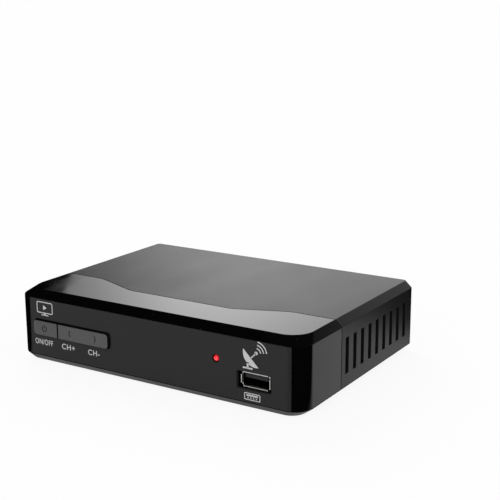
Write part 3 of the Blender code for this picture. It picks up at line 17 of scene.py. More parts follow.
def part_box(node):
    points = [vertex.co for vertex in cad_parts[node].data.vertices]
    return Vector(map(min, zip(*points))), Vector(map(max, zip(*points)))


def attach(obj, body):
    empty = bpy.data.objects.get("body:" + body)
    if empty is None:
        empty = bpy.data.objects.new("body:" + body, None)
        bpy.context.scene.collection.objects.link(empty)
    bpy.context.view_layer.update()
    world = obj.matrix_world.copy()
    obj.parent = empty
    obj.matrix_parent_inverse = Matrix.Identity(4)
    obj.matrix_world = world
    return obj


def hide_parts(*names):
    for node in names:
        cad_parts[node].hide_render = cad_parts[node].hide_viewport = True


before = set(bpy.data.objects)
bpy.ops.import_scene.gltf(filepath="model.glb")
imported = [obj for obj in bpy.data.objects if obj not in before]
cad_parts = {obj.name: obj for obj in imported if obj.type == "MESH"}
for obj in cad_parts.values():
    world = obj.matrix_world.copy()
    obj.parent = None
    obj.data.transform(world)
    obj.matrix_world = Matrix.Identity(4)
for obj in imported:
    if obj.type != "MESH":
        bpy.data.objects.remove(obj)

LOG = logging.getLogger("receiver")
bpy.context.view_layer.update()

Point = tuple[float, float, float]
Profile = Sequence[tuple[float, float]]

ORIGIN: Point = (0.0, 0.0, 0.0)
ONES: Point = (1.0, 1.0, 1.0)
MM = 0.001
WELD = 1e-6
FLAT = radians(0.5)
CREASE = radians(24.0)
ROUND_CREASE = radians(47.0)
ROUNDED = "rounded"
ROUND_STEPS = 64
THREAD_STEPS = 28
CORNER_STEPS = 6


def millimetres(pairs: Profile) -> list[tuple[float, float]]:
    """Pairs of lengths written in millimetres, as metres."""
    return [(first * MM, second * MM) for first, second in pairs]


class Axis(Enum):
    """A direction in the receiver's own frame."""

    X = (1.0, 0.0, 0.0)
    Y = (0.0, 1.0, 0.0)
    Z = (0.0, 0.0, 1.0)


class Body(Enum):
    """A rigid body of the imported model."""

    CHASSIS = "chassis"
    POWER_KEY = "power_key"
    CHANNEL_ROCKER = "channel_rocker"


class Facing(Enum):
    """The way that a piece built with its own Z outwards looks."""

    UP = Matrix.Identity(4)
    FRONT = Matrix.Rotation(radians(90.0), 4, "X")
    REAR = Matrix.Rotation(radians(180.0), 4, "Z") @ Matrix.Rotation(radians(90.0), 4, "X")
    DOWN = Matrix.Rotation(radians(180.0), 4, "X")


@dataclass(frozen=True)
class Wire:
    """One output of a shader node, whose arithmetic adds Math nodes."""

    board: "NodeBoard"
    socket: bpy.types.NodeSocket

    def __add__(self, other: "Wire | float") -> "Wire":
        """Sum of the two."""
        return self.board.maths("ADD", self, other)

    __radd__ = __add__

    def __sub__(self, other: "Wire | float") -> "Wire":
        """This less the other."""
        return self.board.maths("SUBTRACT", self, other)

    def __rsub__(self, other: float) -> "Wire":
        """The other less this."""
        return self.board.maths("SUBTRACT", other, self)

    def __mul__(self, other: "Wire | float") -> "Wire":
        """Product of the two."""
        return self.board.maths("MULTIPLY", self, other)

    __rmul__ = __mul__

    def __truediv__(self, other: "Wire | float") -> "Wire":
        """This divided by the other."""
        return self.board.maths("DIVIDE", self, other)

    def __mod__(self, other: float) -> "Wire":
        """What is left of this after whole steps."""
        return self.board.maths("FLOORED_MODULO", self, other)

    def __abs__(self) -> "Wire":
        """Size of this without its sign."""
        return self.board.maths("ABSOLUTE", self)

    def rise(self, low: float, high: float) -> "Wire":
        """Smooth rise from 0 at the low value to 1 at the high one.

        Args:
            low: Value where the result is 0.
            high: Value where the result is 1.

        Returns:
            The smoothed share.
        """
        settings = {"interpolation_type": "SMOOTHSTEP"}
        inputs = {"Value": self, "From Min": low, "From Max": high}
        return self.board.add("ShaderNodeMapRange", settings, inputs)


class NodeBoard:
    """A node tree under construction."""

    def __init__(self, tree: bpy.types.NodeTree) -> None:
        """Start on an emptied tree."""
        self.tree = tree
        tree.nodes.clear()

    def add(
        self,
        kind: str,
        settings: dict[str, object] | None = None,
        inputs: dict[str | int, object] | None = None,
        output: str | int = 0,
    ) -> Wire:
        """Add a node, set it up and feed it.

        Args:
            kind: The node's type.
            settings: Its properties.
            inputs: Values or wires for its sockets, by name or number.
            output: The socket to go on from.

        Returns:
            That socket as a wire.
        """
        node = self.tree.nodes.new(kind)
        for key, value in (settings or {}).items():
            setattr(node, key, value)
        for key, value in (inputs or {}).items():
            self.feed(node.inputs[key], value)
        return Wire(self, node.outputs[output]) if len(node.outputs) else None

    def feed(self, socket: bpy.types.NodeSocket, value: object) -> None:
        """Link a wire to a socket, or set the socket's own value.

        Args:
            socket: The input to fill.
            value: A wire, a number, a vector or a colour of three values.
        """
        if isinstance(value, Wire):
            self.tree.links.new(value.socket, socket)
        elif socket.type == "RGBA":
            socket.default_value = (*value, 1.0)
        else:
            socket.default_value = value

    def maths(self, operation: str, *terms: "Wire | float") -> Wire:
        """Add a Math node for wires and numbers."""
        return self.add("ShaderNodeMath", {"operation": operation}, dict(enumerate(terms)))

    def mix(self, share: "Wire | float", first: object, second: object) -> Wire:
        """Mix two colours.

        Args:
            share: How much of the second there is.
            first: Colour or wire at a share of 0.
            second: Colour or wire at a share of 1.

        Returns:
            The mixed colour.
        """
        inputs = {0: share, 6: first, 7: second}
        return self.add("ShaderNodeMix", {"data_type": "RGBA"}, inputs, 2)

    def place(self, scale: Point = ONES) -> Wire:
        """Object coordinates, stretched by a scale along each axis."""
        where = self.add("ShaderNodeTexCoord", output="Object")
        inputs = {0: where, 1: scale}
        return self.add("ShaderNodeVectorMath", {"operation": "MULTIPLY"}, inputs)

    def along(self, direction: Point) -> Wire:
        """Length of the object coordinates along a direction."""
        inputs = {0: self.place(), 1: direction}
        return self.add("ShaderNodeVectorMath", {"operation": "DOT_PRODUCT"}, inputs, "Value")

    def noise(self, size: float, detail: float = 2.0, stretch: Point = ONES) -> Wire:
        """Cloudy pattern between 0 and 1.

        Args:
            size: Length of its largest features.
            detail: Number of finer layers.
            stretch: Factor along each axis, under 1 where the pattern is drawn out.

        Returns:
            The pattern's value.
        """
        inputs = {"Vector": self.place(stretch), "Scale": 1.0 / size, "Detail": detail}
        return self.add("ShaderNodeTexNoise", None, inputs, "Fac")

    def cells(self, size: float) -> Wire:
        """Distance from the nearest of many scattered points.

        Args:
            size: Typical distance between the points.

        Returns:
            The distance as a share of that size.
        """
        inputs = {"Vector": self.place(), "Scale": 1.0 / size}
        return self.add("ShaderNodeTexVoronoi", None, inputs, "Distance")

    def bump(self, height: Wire, distance: float, under: Wire | None = None) -> Wire:
        """Relief from a height pattern.

        Args:
            height: The pattern, between 0 and 1.
            distance: Height in metres that 1 stands for.
            under: A coarser relief that this one lies on.

        Returns:
            The bent normal.
        """
        inputs: dict[str | int, object] = {"Height": height, "Distance": distance}
        if under:
            inputs["Normal"] = under
        return self.add("ShaderNodeBump", None, inputs)


@dataclass(frozen=True)
class Finish:
    """A surface: the record's slot that it belongs to, a colour and a roughness."""

    name: str
    slot: str
    colour: Point
    roughness: float

    def dress(self, board: NodeBoard) -> dict[str, object]:
        """Wires and constants for the shader's sockets.

        Args:
            board: The material's node tree.

        Returns:
            Socket names and what feeds them.
        """
        raise NotImplementedError

    def material(self) -> bpy.types.Material:
        """The finish as a material, made once."""
        made = bpy.data.materials.get(self.name)
        if made is None:
            made = bpy.data.materials.new(self.name)
            made.use_nodes = True
            board = NodeBoard(made.node_tree)
            sockets = {"Base Color": self.colour, "Roughness": self.roughness}
            sockets.update(self.dress(board))
            shader = board.add("ShaderNodeBsdfPrincipled", None, sockets)
            board.add("ShaderNodeOutputMaterial", None, {"Surface": shader})
            made.diffuse_color = (*self.colour, 1.0)
        return made


@dataclass(frozen=True)
class GlossMoulding(Finish):
    """Polished black plastic with a faint swell of its mould and the odd smear."""

    specular: float = 0.22
    swell: float = 4e-6
    grain: float = 0.0

    def dress(self, board: NodeBoard) -> dict[str, object]:
        """Smears in the gloss over a slow swell, with dust specks in the colour."""
        smear = board.noise(14 * MM, 4.0, (1.0, 0.6, 1.0)).rise(0.45, 0.75)
        speck = board.cells(5 * MM).rise(0.05, 0.025)
        swell = board.bump(board.noise(18 * MM, 1.0), self.swell)
        if self.grain:
            swell = board.bump(board.noise(0.25 * MM, 2.0), self.grain, swell)
        return {
            "Base Color": board.mix(speck * 0.35, self.colour, (0.09, 0.09, 0.09)),
            "Roughness": self.roughness + 0.05 * smear + 0.20 * speck,
            "Specular IOR Level": self.specular,
            "Normal": swell,
        }


@dataclass(frozen=True)
class SparkMoulding(Finish):
    """Plastic from a spark-eroded mould: fine pits, slightly polished where it is handled."""

    specular: float = 0.30
    pit: float = 0.32 * MM
    relief: float = 6e-6

    def dress(self, board: NodeBoard) -> dict[str, object]:
        """Pits over a faint flow pattern, which also shifts the sheen. The colour is paler at random with
        the flow, and paler on the pits' raised parts, which is painted shade in the pits.
        """
        pits = board.noise(self.pit, 3.0)
        flow = board.noise(22 * MM, 3.0, (1.0, 0.45, 1.0))
        paler = tuple(1.25 * part + 0.002 for part in self.colour)
        return {
            # Colour partly random tone from the flow, partly painted shade in the pits' hollows.
            "Base Color": board.mix(0.6 * flow + 0.4 * pits.rise(0.35, 0.65), self.colour, paler),
            "Roughness": self.roughness - 0.05 + 0.08 * flow + 0.04 * pits,
            "Specular IOR Level": self.specular,
            "Normal": board.bump(pits, self.relief, board.bump(flow, self.relief)),
        }


@dataclass(frozen=True)
class PrintInk(Finish):
    """Screen-printed ink with a slightly uneven lay."""

    specular: float = 0.4

    def dress(self, board: NodeBoard) -> dict[str, object]:
        """Thinner spots where the mesh of the screen laid less ink."""
        lay = board.noise(0.22 * MM, 2.0)
        thin = tuple(0.86 * part for part in self.colour)
        return {
            "Base Color": board.mix(lay.rise(0.35, 0.6), thin, self.colour),
            "Roughness": self.roughness + 0.1 * lay,
            "Specular IOR Level": self.specular,
            "Normal": board.bump(lay, 2e-6),
        }


@dataclass(frozen=True)
class GlowingLens(Finish):
    """Tinted epoxy lens, lit from within, brightest at its middle."""

    centre: Point
    radius: float
    strength: float

    def dress(self, board: NodeBoard) -> dict[str, object]:
        """A hot middle that falls off to a deep rim."""
        offset = {0: board.place(), 1: self.centre}
        reach = board.add("ShaderNodeVectorMath", {"operation": "DISTANCE"}, offset, "Value")
        rim = (reach / self.radius).rise(0.35, 1.1)
        deep = tuple(0.25 * part for part in self.colour)
        return {
            "Base Color": board.mix(rim, self.colour, deep),
            "Emission Color": board.mix(rim, self.colour, deep),
            "Emission Strength": self.strength,
            "Roughness": self.roughness + 0.1 * board.noise(0.5 * MM),
            "Coat Weight": 0.6 + 0.3 * board.noise(1.5 * MM),
        }


@dataclass(frozen=True)
class RolledMetal(Finish):
    """Bare or plated metal with rolling lines, stains and small scratches."""

    grain: Point = (0.08, 1.0, 1.0)
    relief: float = 1.5e-6

    def dress(self, board: NodeBoard) -> dict[str, object]:
        """Lines drawn out along the grain, and duller clouds."""
        lines = board.noise(0.18 * MM, 3.0, self.grain)
        cloud = board.noise(3 * MM, 4.0).rise(0.4, 0.7)
        dull = tuple(0.78 * part for part in self.colour)
        return {
            "Base Color": board.mix(0.7 * cloud + 0.3 * lines, self.colour, dull),
            "Metallic": 1.0,
            "Roughness": self.roughness + 0.12 * cloud + 0.08 * lines,
            "Normal": board.bump(lines, self.relief),
        }


@dataclass(frozen=True)
class CircuitBoard(Finish):
    """Solder mask over copper tracks, with a few bare pads."""

    copper: Point = (0.055, 0.30, 0.10)

    def dress(self, board: NodeBoard) -> dict[str, object]:
        """Tracks that wander along a grid, a little proud of the mask."""
        wander = board.noise(9 * MM, 1.0)
        tracks = (board.along(Axis.X.value) + 6 * MM * wander) % (1.3 * MM)
        ridge = abs(tracks - 0.65 * MM).rise(0.36 * MM, 0.28 * MM)
        parts = ridge * board.noise(11 * MM, 2.0, (0.5, 1.0, 1.0)).rise(0.46, 0.52)
        pad = board.cells(3.1 * MM).rise(0.20, 0.16)
        colour = board.mix(parts, self.colour, self.copper)
        return {
            "Base Color": board.mix(pad, colour, (0.72, 0.70, 0.64)),
            "Metallic": pad,
            "Roughness": self.roughness - 0.1 * pad + 0.06 * wander,
            "Normal": board.bump(parts + pad, 20e-6),
        }


@dataclass(frozen=True)
class Crumbly(Finish):
    """A dull grainy body, such as pressed ferrite or moulded rubber."""

    grain: float = 0.3 * MM
    relief: float = 12e-6

    def dress(self, board: NodeBoard) -> dict[str, object]:
        """Coarse grains, darker in their hollows: painted shade."""
        grains = board.noise(self.grain, 4.0)
        dark = tuple(0.6 * part for part in self.colour)
        return {
            # Painted shade: the colour is darker where the grains' relief is low.
            "Base Color": board.mix(grains.rise(0.3, 0.7), dark, self.colour),
            "Roughness": self.roughness + 0.1 * grains,
            "Specular IOR Level": 0.3,
            "Normal": board.bump(grains, self.relief),
        }


GLOSS = GlossMoulding("gloss_moulding", "gloss_black", (0.0012, 0.0012, 0.0014), 0.045)
SATIN = SparkMoulding("satin_moulding", "satin_black", (0.006, 0.006, 0.0065), 0.36, 0.20)
BASE_SATIN = SparkMoulding("base_moulding", "satin_black", (0.012, 0.012, 0.0125), 0.42)
SMOKE = GlossMoulding("smoked_acrylic", "smoked_panel", (0.0210, 0.0210, 0.0214), 0.10, 0.08)
KEY_CAP = SparkMoulding("key_cap_plastic", "key_grey", (0.062, 0.062, 0.064), 0.40, 0.20, 0.2 * MM, 2e-6)
# Near-black copy of the key plastic for the keys' walls: painted shade for the dark band round each key's
# face.
KEY_WALL_PAINTED_SHADE = SparkMoulding("key_wall_painted_shade", "key_grey", (0.004, 0.004, 0.004), 0.50, 0.05, 0.2 * MM, 2e-6)
KEY_SIGN = PrintInk("key_sign_ink", "black_plastic", (0.004, 0.004, 0.004), 0.50, 0.05)
WHITE_INK = PrintInk("white_ink", "white_plastic", (0.50, 0.50, 0.51), 0.55)
DARK_LENS = GlossMoulding("receiver_lens", "dark_lens", (0.012, 0.006, 0.014), 0.06, 0.5)
BLACK = SparkMoulding("black_moulding", "black_plastic", (0.014, 0.014, 0.014), 0.48)
WHITE = SparkMoulding("white_moulding", "white_plastic", (0.74, 0.73, 0.70), 0.42)
YELLOW = SparkMoulding("yellow_moulding", "yellow_plastic", (0.78, 0.54, 0.02), 0.40)
RED = SparkMoulding("red_moulding", "red_plastic", (0.58, 0.022, 0.022), 0.40)
MASK_GREEN = CircuitBoard("solder_mask", "green_board", (0.012, 0.10, 0.035), 0.35)
TINPLATE = RolledMetal("tinplate", "tinned_steel", (0.62, 0.62, 0.60), 0.26)
# Near-black copy of the tinplate for faces deep inside the sockets: painted shade.
TINPLATE_PAINTED_SHADE = RolledMetal("tinplate_painted_shade", "tinned_steel", (0.045, 0.045, 0.045), 0.42)
NICKEL = RolledMetal("nickel_plate", "bright_metal", (0.74, 0.73, 0.70), 0.16, (1.0, 1.0, 0.2))
GOLD = RolledMetal("gold_flash", "bright_metal", (0.83, 0.62, 0.25), 0.22)
BLACK_ZINC = RolledMetal("black_zinc", "screw_steel", (0.065, 0.065, 0.072), 0.32)
EXTRUDED = RolledMetal("extruded_aluminium", "bare_aluminium", (0.74, 0.74, 0.75), 0.34, (1.0, 0.06, 1.0))
FERRITE = Crumbly("pressed_ferrite", "ferrite", (0.085, 0.080, 0.076), 0.58)
RUBBER = Crumbly("moulded_rubber", "rubber", (0.024, 0.024, 0.024), 0.72, 0.4 * MM, 8e-6)


class Form:
    """A mesh under construction, worked on with its own Z outwards."""

    def __init__(self, centre: Point = ORIGIN, facing: Facing = Facing.UP) -> None:
        """Start empty at a place, looking a given way."""
        self.mesh = bmesh.new()
        self.mesh.faces.layers.int.new(ROUNDED)
        self.place = Matrix.Translation(centre) @ facing.value
        self.careful = True

    def soften(self, edges: Iterable[bmesh.types.BMEdge], width: float, steps: int = 2) -> None:
        """Round edges over a width."""
        fresh = bmesh.ops.bevel(
            self.mesh,
            geom=list(edges),
            offset=width,
            offset_type="OFFSET",
            segments=steps,
            profile=0.5,
            affect="EDGES",
            clamp_overlap=self.careful,
            material=-1,
        )["faces"]
        rounded = self.mesh.faces.layers.int[ROUNDED]
        for face in fresh:
            face[rounded] = 1

    def block(self, size: Point, centre: Point = ORIGIN, rounding: float = 0.0) -> "Form":
        """Add a box.

        Args:
            size: Its width, height and thickness.
            centre: Its middle.
            rounding: Width of its rounded edges.

        Returns:
            The form itself.
        """
        where = Matrix.Translation(centre) @ Matrix.Diagonal((*size, 1.0))
        corners = bmesh.ops.create_cube(self.mesh, size=1.0, matrix=where)["verts"]
        if rounding:
            self.soften({edge for corner in corners for edge in corner.link_edges}, rounding)
        return self

    def turned(self, profile: Profile, closed: bool = False, steps: int = ROUND_STEPS) -> "Form":
        """Add a shape turned about the form's Z axis.

        Args:
            profile: Radius and height of each of its points.
            closed: True joins the last point to the first, for a ring.
            steps: Number of facets round it.

        Returns:
            The form itself.
        """
        corners = [self.mesh.verts.new((radius, 0.0, height)) for radius, height in profile]
        pairs = list(zip(corners, corners[1:]))
        if closed:
            pairs.append((corners[-1], corners[0]))
        edges = [self.mesh.edges.new(pair) for pair in pairs]
        bmesh.ops.spin(
            self.mesh,
            geom=[*corners, *edges],
            cent=ORIGIN,
            axis=Axis.Z.value,
            angle=2 * pi,
            steps=steps,
            use_merge=True,
        )
        return self

    def swept(
        self, corners: Sequence[Point], angle: float, steps: int, climb: float = 0.0
    ) -> list[bmesh.types.BMVert]:
        """Sweep a flat outline round the form's Z axis, with both ends closed.

        Args:
            corners: The outline's corners.
            angle: How far round it goes.
            steps: Number of steps on the way.
            climb: How far it rises on the way.

        Returns:
            The corners of the swept shape.
        """
        known = set(self.mesh.verts)
        start = self.mesh.faces.new([self.mesh.verts.new(corner) for corner in corners])
        bmesh.ops.spin(
            self.mesh,
            geom=[start],
            cent=ORIGIN,
            axis=Axis.Z.value,
            dvec=(0.0, 0.0, climb / steps),
            angle=angle,
            steps=steps,
        )
        return [corner for corner in self.mesh.verts if corner not in known]

    def arc(
        self,
        radius: float,
        stroke: float,
        begin: float,
        sweep: float,
        thickness: float,
        centre: Point = ORIGIN,
    ) -> "Form":
        """Add a flat arc, drawn with a stroke.

        Args:
            radius: Radius of the stroke's middle.
            stroke: Width of the stroke.
            begin: Angle from X at which it begins, in degrees.
            sweep: How far round it goes, in degrees.
            thickness: Its thickness, half of it below the centre.
            centre: The arc's centre.

        Returns:
            The form itself.
        """
        near, far, half = radius - stroke / 2, radius + stroke / 2, thickness / 2
        corners = ((near, 0.0, -half), (far, 0.0, -half), (far, 0.0, half), (near, 0.0, half))
        fresh = self.swept(corners, radians(sweep), max(6, int(sweep / 8)))
        turn = Matrix.Rotation(radians(begin), 3, "Z")
        bmesh.ops.rotate(self.mesh, verts=fresh, cent=ORIGIN, matrix=turn)
        bmesh.ops.translate(self.mesh, verts=fresh, vec=centre)
        return self

    def disc(
        self, radius: float, thickness: float, centre: tuple[float, float] = (0.0, 0.0), sides: int = 32
    ) -> "Form":
        """Add a flat disc.

        Args:
            radius: Its radius.
            thickness: Its thickness, half of it below 0.
            centre: X and Y of its middle.
            sides: Number of its sides, the first corner on X.

        Returns:
            The form itself.
        """
        where = Matrix.Translation((*centre, -thickness / 2)) @ Matrix.Rotation(-pi / 2, 4, "Z")
        rim = bmesh.ops.create_circle(
            self.mesh, cap_ends=True, radius=radius, segments=sides, matrix=where
        )["verts"]
        self.raised(rim[0].link_faces, thickness)
        return self

    def bar(
        self, first: tuple[float, float], second: tuple[float, float], stroke: float, thickness: float
    ) -> "Form":
        """Add a flat bar between two points.

        Args:
            first: X and Y of its beginning.
            second: X and Y of its end.
            stroke: Its width.
            thickness: Its thickness, half of it below 0.

        Returns:
            The form itself.
        """
        begin, end = Vector((*first, 0.0)), Vector((*second, 0.0))
        run = end - begin
        where = Matrix.Translation((begin + end) / 2) @ run.to_track_quat("X", "Z").to_matrix().to_4x4()
        size = Matrix.Diagonal((run.length, stroke, thickness, 1.0))
        bmesh.ops.create_cube(self.mesh, size=1.0, matrix=where @ size)
        return self

    def ribbon(
        self, width: float, thickness: float, path: Sequence[tuple[float, float]], x: float = 0.0
    ) -> list[bmesh.types.BMVert]:
        """Add a bent sheet-metal strip.

        Args:
            width: Its size along X.
            thickness: Its thickness along Y.
            path: Y and Z of its middle at each bend.
            x: X of its middle.

        Returns:
            Its corners.
        """
        known = set(self.mesh.verts)
        (first, level), *rest = path
        where = Matrix.Translation((x, first, level)) @ Matrix.Diagonal((width, thickness, 1.0, 1.0))
        bmesh.ops.create_grid(self.mesh, x_segments=1, y_segments=1, size=0.5, matrix=where)
        moved = [corner for corner in self.mesh.verts if corner not in known]
        for middle, height in rest:
            front = next(face for face in self.mesh.faces if set(face.verts) == set(moved))
            moved = self.raised([front], height - level)
            bmesh.ops.translate(self.mesh, vec=(0.0, middle - first, 0.0), verts=moved)
            first, level = middle, height
        return [corner for corner in self.mesh.verts if corner not in known]

    def threaded(self, radius: float, depth: float, pitch: float, low: float, high: float) -> "Form":
        """Wind a screw thread round the form's Z axis.

        Args:
            radius: Radius at the thread's root.
            depth: Height of its ridge.
            pitch: Rise of one turn.
            low: Where it begins.
            high: Where it ends.

        Returns:
            The form itself.
        """
        turns = int((high - low) / pitch) - 1
        inner, crest = radius - 0.2 * depth, radius + depth
        tooth = ((inner, 0.0, low), (crest, 0.0, low + 0.4 * pitch), (inner, 0.0, low + 0.8 * pitch))
        self.swept(tooth, 2 * pi * turns, THREAD_STEPS * turns, turns * pitch)
        return self

    def capped(self) -> list[bmesh.types.BMFace]:
        """Close every open rim with a flat face."""
        rims = [edge for edge in self.mesh.edges if edge.is_boundary]
        return bmesh.ops.holes_fill(self.mesh, edges=rims)["faces"]

    def crossed(self, face: bmesh.types.BMFace, reach: float, width: float, depth: float) -> "Form":
        """Sink a tapered cross recess into a flat face square to Z.

        Args:
            face: The face.
            reach: Distance from its middle to the end of each arm.
            width: Width of the arms.
            depth: Depth of the recess.

        Returns:
            The form itself.
        """
        parts = [face, *face.edges, *face.verts]
        for normal in (Axis.X.value, Axis.Y.value):
            for distance in (-reach, -width / 2, width / 2, reach):
                place = Vector(normal) * distance
                parts = bmesh.ops.bisect_plane(
                    self.mesh, geom=parts, plane_co=place, plane_no=normal
                )["geom"]
        sunk = []
        for part in parts:
            if isinstance(part, bmesh.types.BMFace):
                across, along = sorted(abs(length) for length in part.calc_center_median().xy)
                if across < width / 2 and along < reach:
                    sunk.append(part)
        floor = self.raised(sunk, -depth)
        bmesh.ops.scale(self.mesh, vec=(0.55, 0.55, 1.0), verts=floor)
        return self

    def outline(self, width: float, height: float, level: float, corner: float) -> bmesh.types.BMFace:
        """Lay a flat rectangle with rounded corners.

        Args:
            width: Its size along X.
            height: Its size along Y.
            level: Its height.
            corner: Radius of its corners.

        Returns:
            The face.
        """
        known = set(self.mesh.faces)
        where = Matrix.Translation((0.0, 0.0, level)) @ Matrix.Diagonal((width, height, 1.0, 1.0))
        corners = bmesh.ops.create_grid(
            self.mesh, x_segments=1, y_segments=1, size=0.5, matrix=where
        )["verts"]
        if corner:
            bmesh.ops.bevel(
                self.mesh,
                geom=corners,
                offset=corner,
                offset_type="OFFSET",
                segments=CORNER_STEPS,
                profile=0.5,
                affect="VERTICES",
                material=-1,
            )
        return next(face for face in self.mesh.faces if face not in known)

    def raised(self, faces: Sequence[bmesh.types.BMFace], rise: float) -> list[bmesh.types.BMVert]:
        """Extrude faces upwards and give their moved corners."""
        chosen = set(faces)
        edges = {edge for face in chosen for edge in face.edges}
        parts = [*chosen]
        if any(face not in chosen for edge in edges for face in edge.link_faces):
            parts += [*edges, *{corner for edge in edges for corner in edge.verts}]
        grown = bmesh.ops.extrude_face_region(self.mesh, geom=parts)["geom"]
        corners = [part for part in grown if isinstance(part, bmesh.types.BMVert)]
        bmesh.ops.translate(self.mesh, vec=(0.0, 0.0, rise), verts=corners)
        return corners

    def slab(
        self, width: float, height: float, low: float, high: float, corner: float, rim: float = 0.0
    ) -> "Form":
        """Add a rounded rectangular block.

        Args:
            width: Its size along X.
            height: Its size along Y.
            low: Height of its bottom.
            high: Height of its top.
            corner: Radius of its upright corners.
            rim: Rounding of its top edge.

        Returns:
            The form itself.
        """
        corners = self.raised([self.outline(width, height, low, corner)], high - low)
        if rim:
            top = set(corners)
            edges = {edge for part in corners for edge in part.link_edges}
            self.soften([edge for edge in edges if set(edge.verts) <= top], rim)
        return self

    def sleeve(
        self, width: float, height: float, wall: float, low: float, high: float, corner: float
    ) -> list[bmesh.types.BMVert]:
        """Add a rounded rectangular tube.

        Args:
            width: Its outer size along X.
            height: Its outer size along Y.
            wall: Thickness of its wall.
            low: Height of one end.
            high: Height of the other.
            corner: Outer radius of its corners.

        Returns:
            The corners of its high end.
        """
        inner = self.outline(width, height, low, corner)
        ring = bmesh.ops.inset_region(
            self.mesh, faces=[inner], thickness=wall, use_even_offset=True, use_boundary=True
        )["faces"]
        bmesh.ops.delete(self.mesh, geom=[inner], context="FACES_ONLY")
        return self.raised(ring, high - low)

    def copied(self, node: str) -> "Form":
        """Start from a CAD node's mesh, welded and with its flat faces joined.

        Args:
            node: The node's name.

        Returns:
            The form itself.
        """
        self.careful = False
        self.mesh.from_mesh(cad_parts[node].data)
        bmesh.ops.remove_doubles(self.mesh, verts=self.mesh.verts, dist=WELD)
        bmesh.ops.dissolve_limit(
            self.mesh,
            angle_limit=FLAT,
            verts=self.mesh.verts,
            edges=self.mesh.edges,
            delimit={"NORMAL"},
        )
        return self

    def sharp(self, chosen: Callable[[Vector, Vector], bool]) -> list[bmesh.types.BMEdge]:
        """Sharp outward edges whose ends pass a test.

        Args:
            chosen: Test of an edge's two ends.

        Returns:
            The edges.
        """
        return [
            edge
            for edge in self.mesh.edges
            if len(edge.link_faces) == 2
            and edge.calc_face_angle_signed() > CREASE
            and chosen(edge.verts[0].co, edge.verts[1].co)
        ]

    def finish(
        self,
        name: str,
        finish: Finish,
        body: Body = Body.CHASSIS,
        stands_for: Sequence[str] = (),
        weighted: bool = False,
        second: Finish | None = None,
        where: Callable[[Vector, Vector], bool] | None = None,
    ) -> bpy.types.Object:
        """Put the form in the scene as a finished piece.

        Args:
            name: The piece's name.
            finish: Its surface.
            body: The body that it rides on.
            stands_for: CAD nodes that it replaces.
            weighted: True lets big faces set the shading of the rounded edges beside them.
            second: A second finish for some of its faces.
            where: Test of a face's middle and normal for the second finish.

        Returns:
            The piece.
        """
        bmesh.ops.transform(self.mesh, matrix=self.place, verts=self.mesh.verts)
        bmesh.ops.remove_doubles(self.mesh, verts=self.mesh.verts, dist=WELD)
        bmesh.ops.dissolve_degenerate(self.mesh, edges=self.mesh.edges, dist=WELD / 10)
        loose = [corner for corner in self.mesh.verts if not corner.link_faces]
        bmesh.ops.delete(self.mesh, geom=loose, context="VERTS")
        bmesh.ops.recalc_face_normals(self.mesh, faces=self.mesh.faces)
        self.mesh.normal_update()
        for face in self.mesh.faces:
            face.smooth = True
        rounded = self.mesh.faces.layers.int[ROUNDED]
        for edge in self.mesh.edges:
            limit = ROUND_CREASE if all(face[rounded] for face in edge.link_faces) else CREASE
            edge.smooth = edge.calc_face_angle(0.0) <= limit
        self.mesh.faces.layers.int.remove(rounded)
        mesh = bpy.data.meshes.new(name)
        self.mesh.to_mesh(mesh)
        self.mesh.free()
        old_shading = mesh.attributes.get("custom_normal")
        if old_shading:
            mesh.attributes.remove(old_shading)
        piece = bpy.data.objects.new(name, mesh)
        bpy.context.scene.collection.objects.link(piece)
        mesh.materials.append(finish.material())
        if second:
            mesh.materials.append(second.material())
            for face in mesh.polygons:
                face.material_index = int(where(face.center, face.normal))
        if weighted:
            smoother = piece.modifiers.new("even_shading", "WEIGHTED_NORMAL")
            smoother.keep_sharp = True
        return settle(piece, body, stands_for)


def settle(
    piece: bpy.types.Object, body: Body, stands_for: Sequence[str] = ()
) -> bpy.types.Object:
    """Tie a piece to its body, hide the CAD nodes that it stands for, and report it.

    Args:
        piece: The finished piece.
        body: The body that it rides on.
        stands_for: CAD nodes that it replaces.

    Returns:
        The piece.
    """
    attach(piece, body.value)
    if stands_for:
        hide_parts(*stands_for)
    LOG.info("%s rides on %s", piece.name, body.value)
    return piece


def dress_node(node: str, finish: Finish) -> None:
    """Give a CAD node that stays in view a finish.

    Args:
        node: The node's name.
        finish: Its surface.
    """
    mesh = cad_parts[node].data
    for index in range(len(mesh.materials)):
        mesh.materials[index] = finish.material()
    LOG.info("%s dressed as %s", node, finish.name)


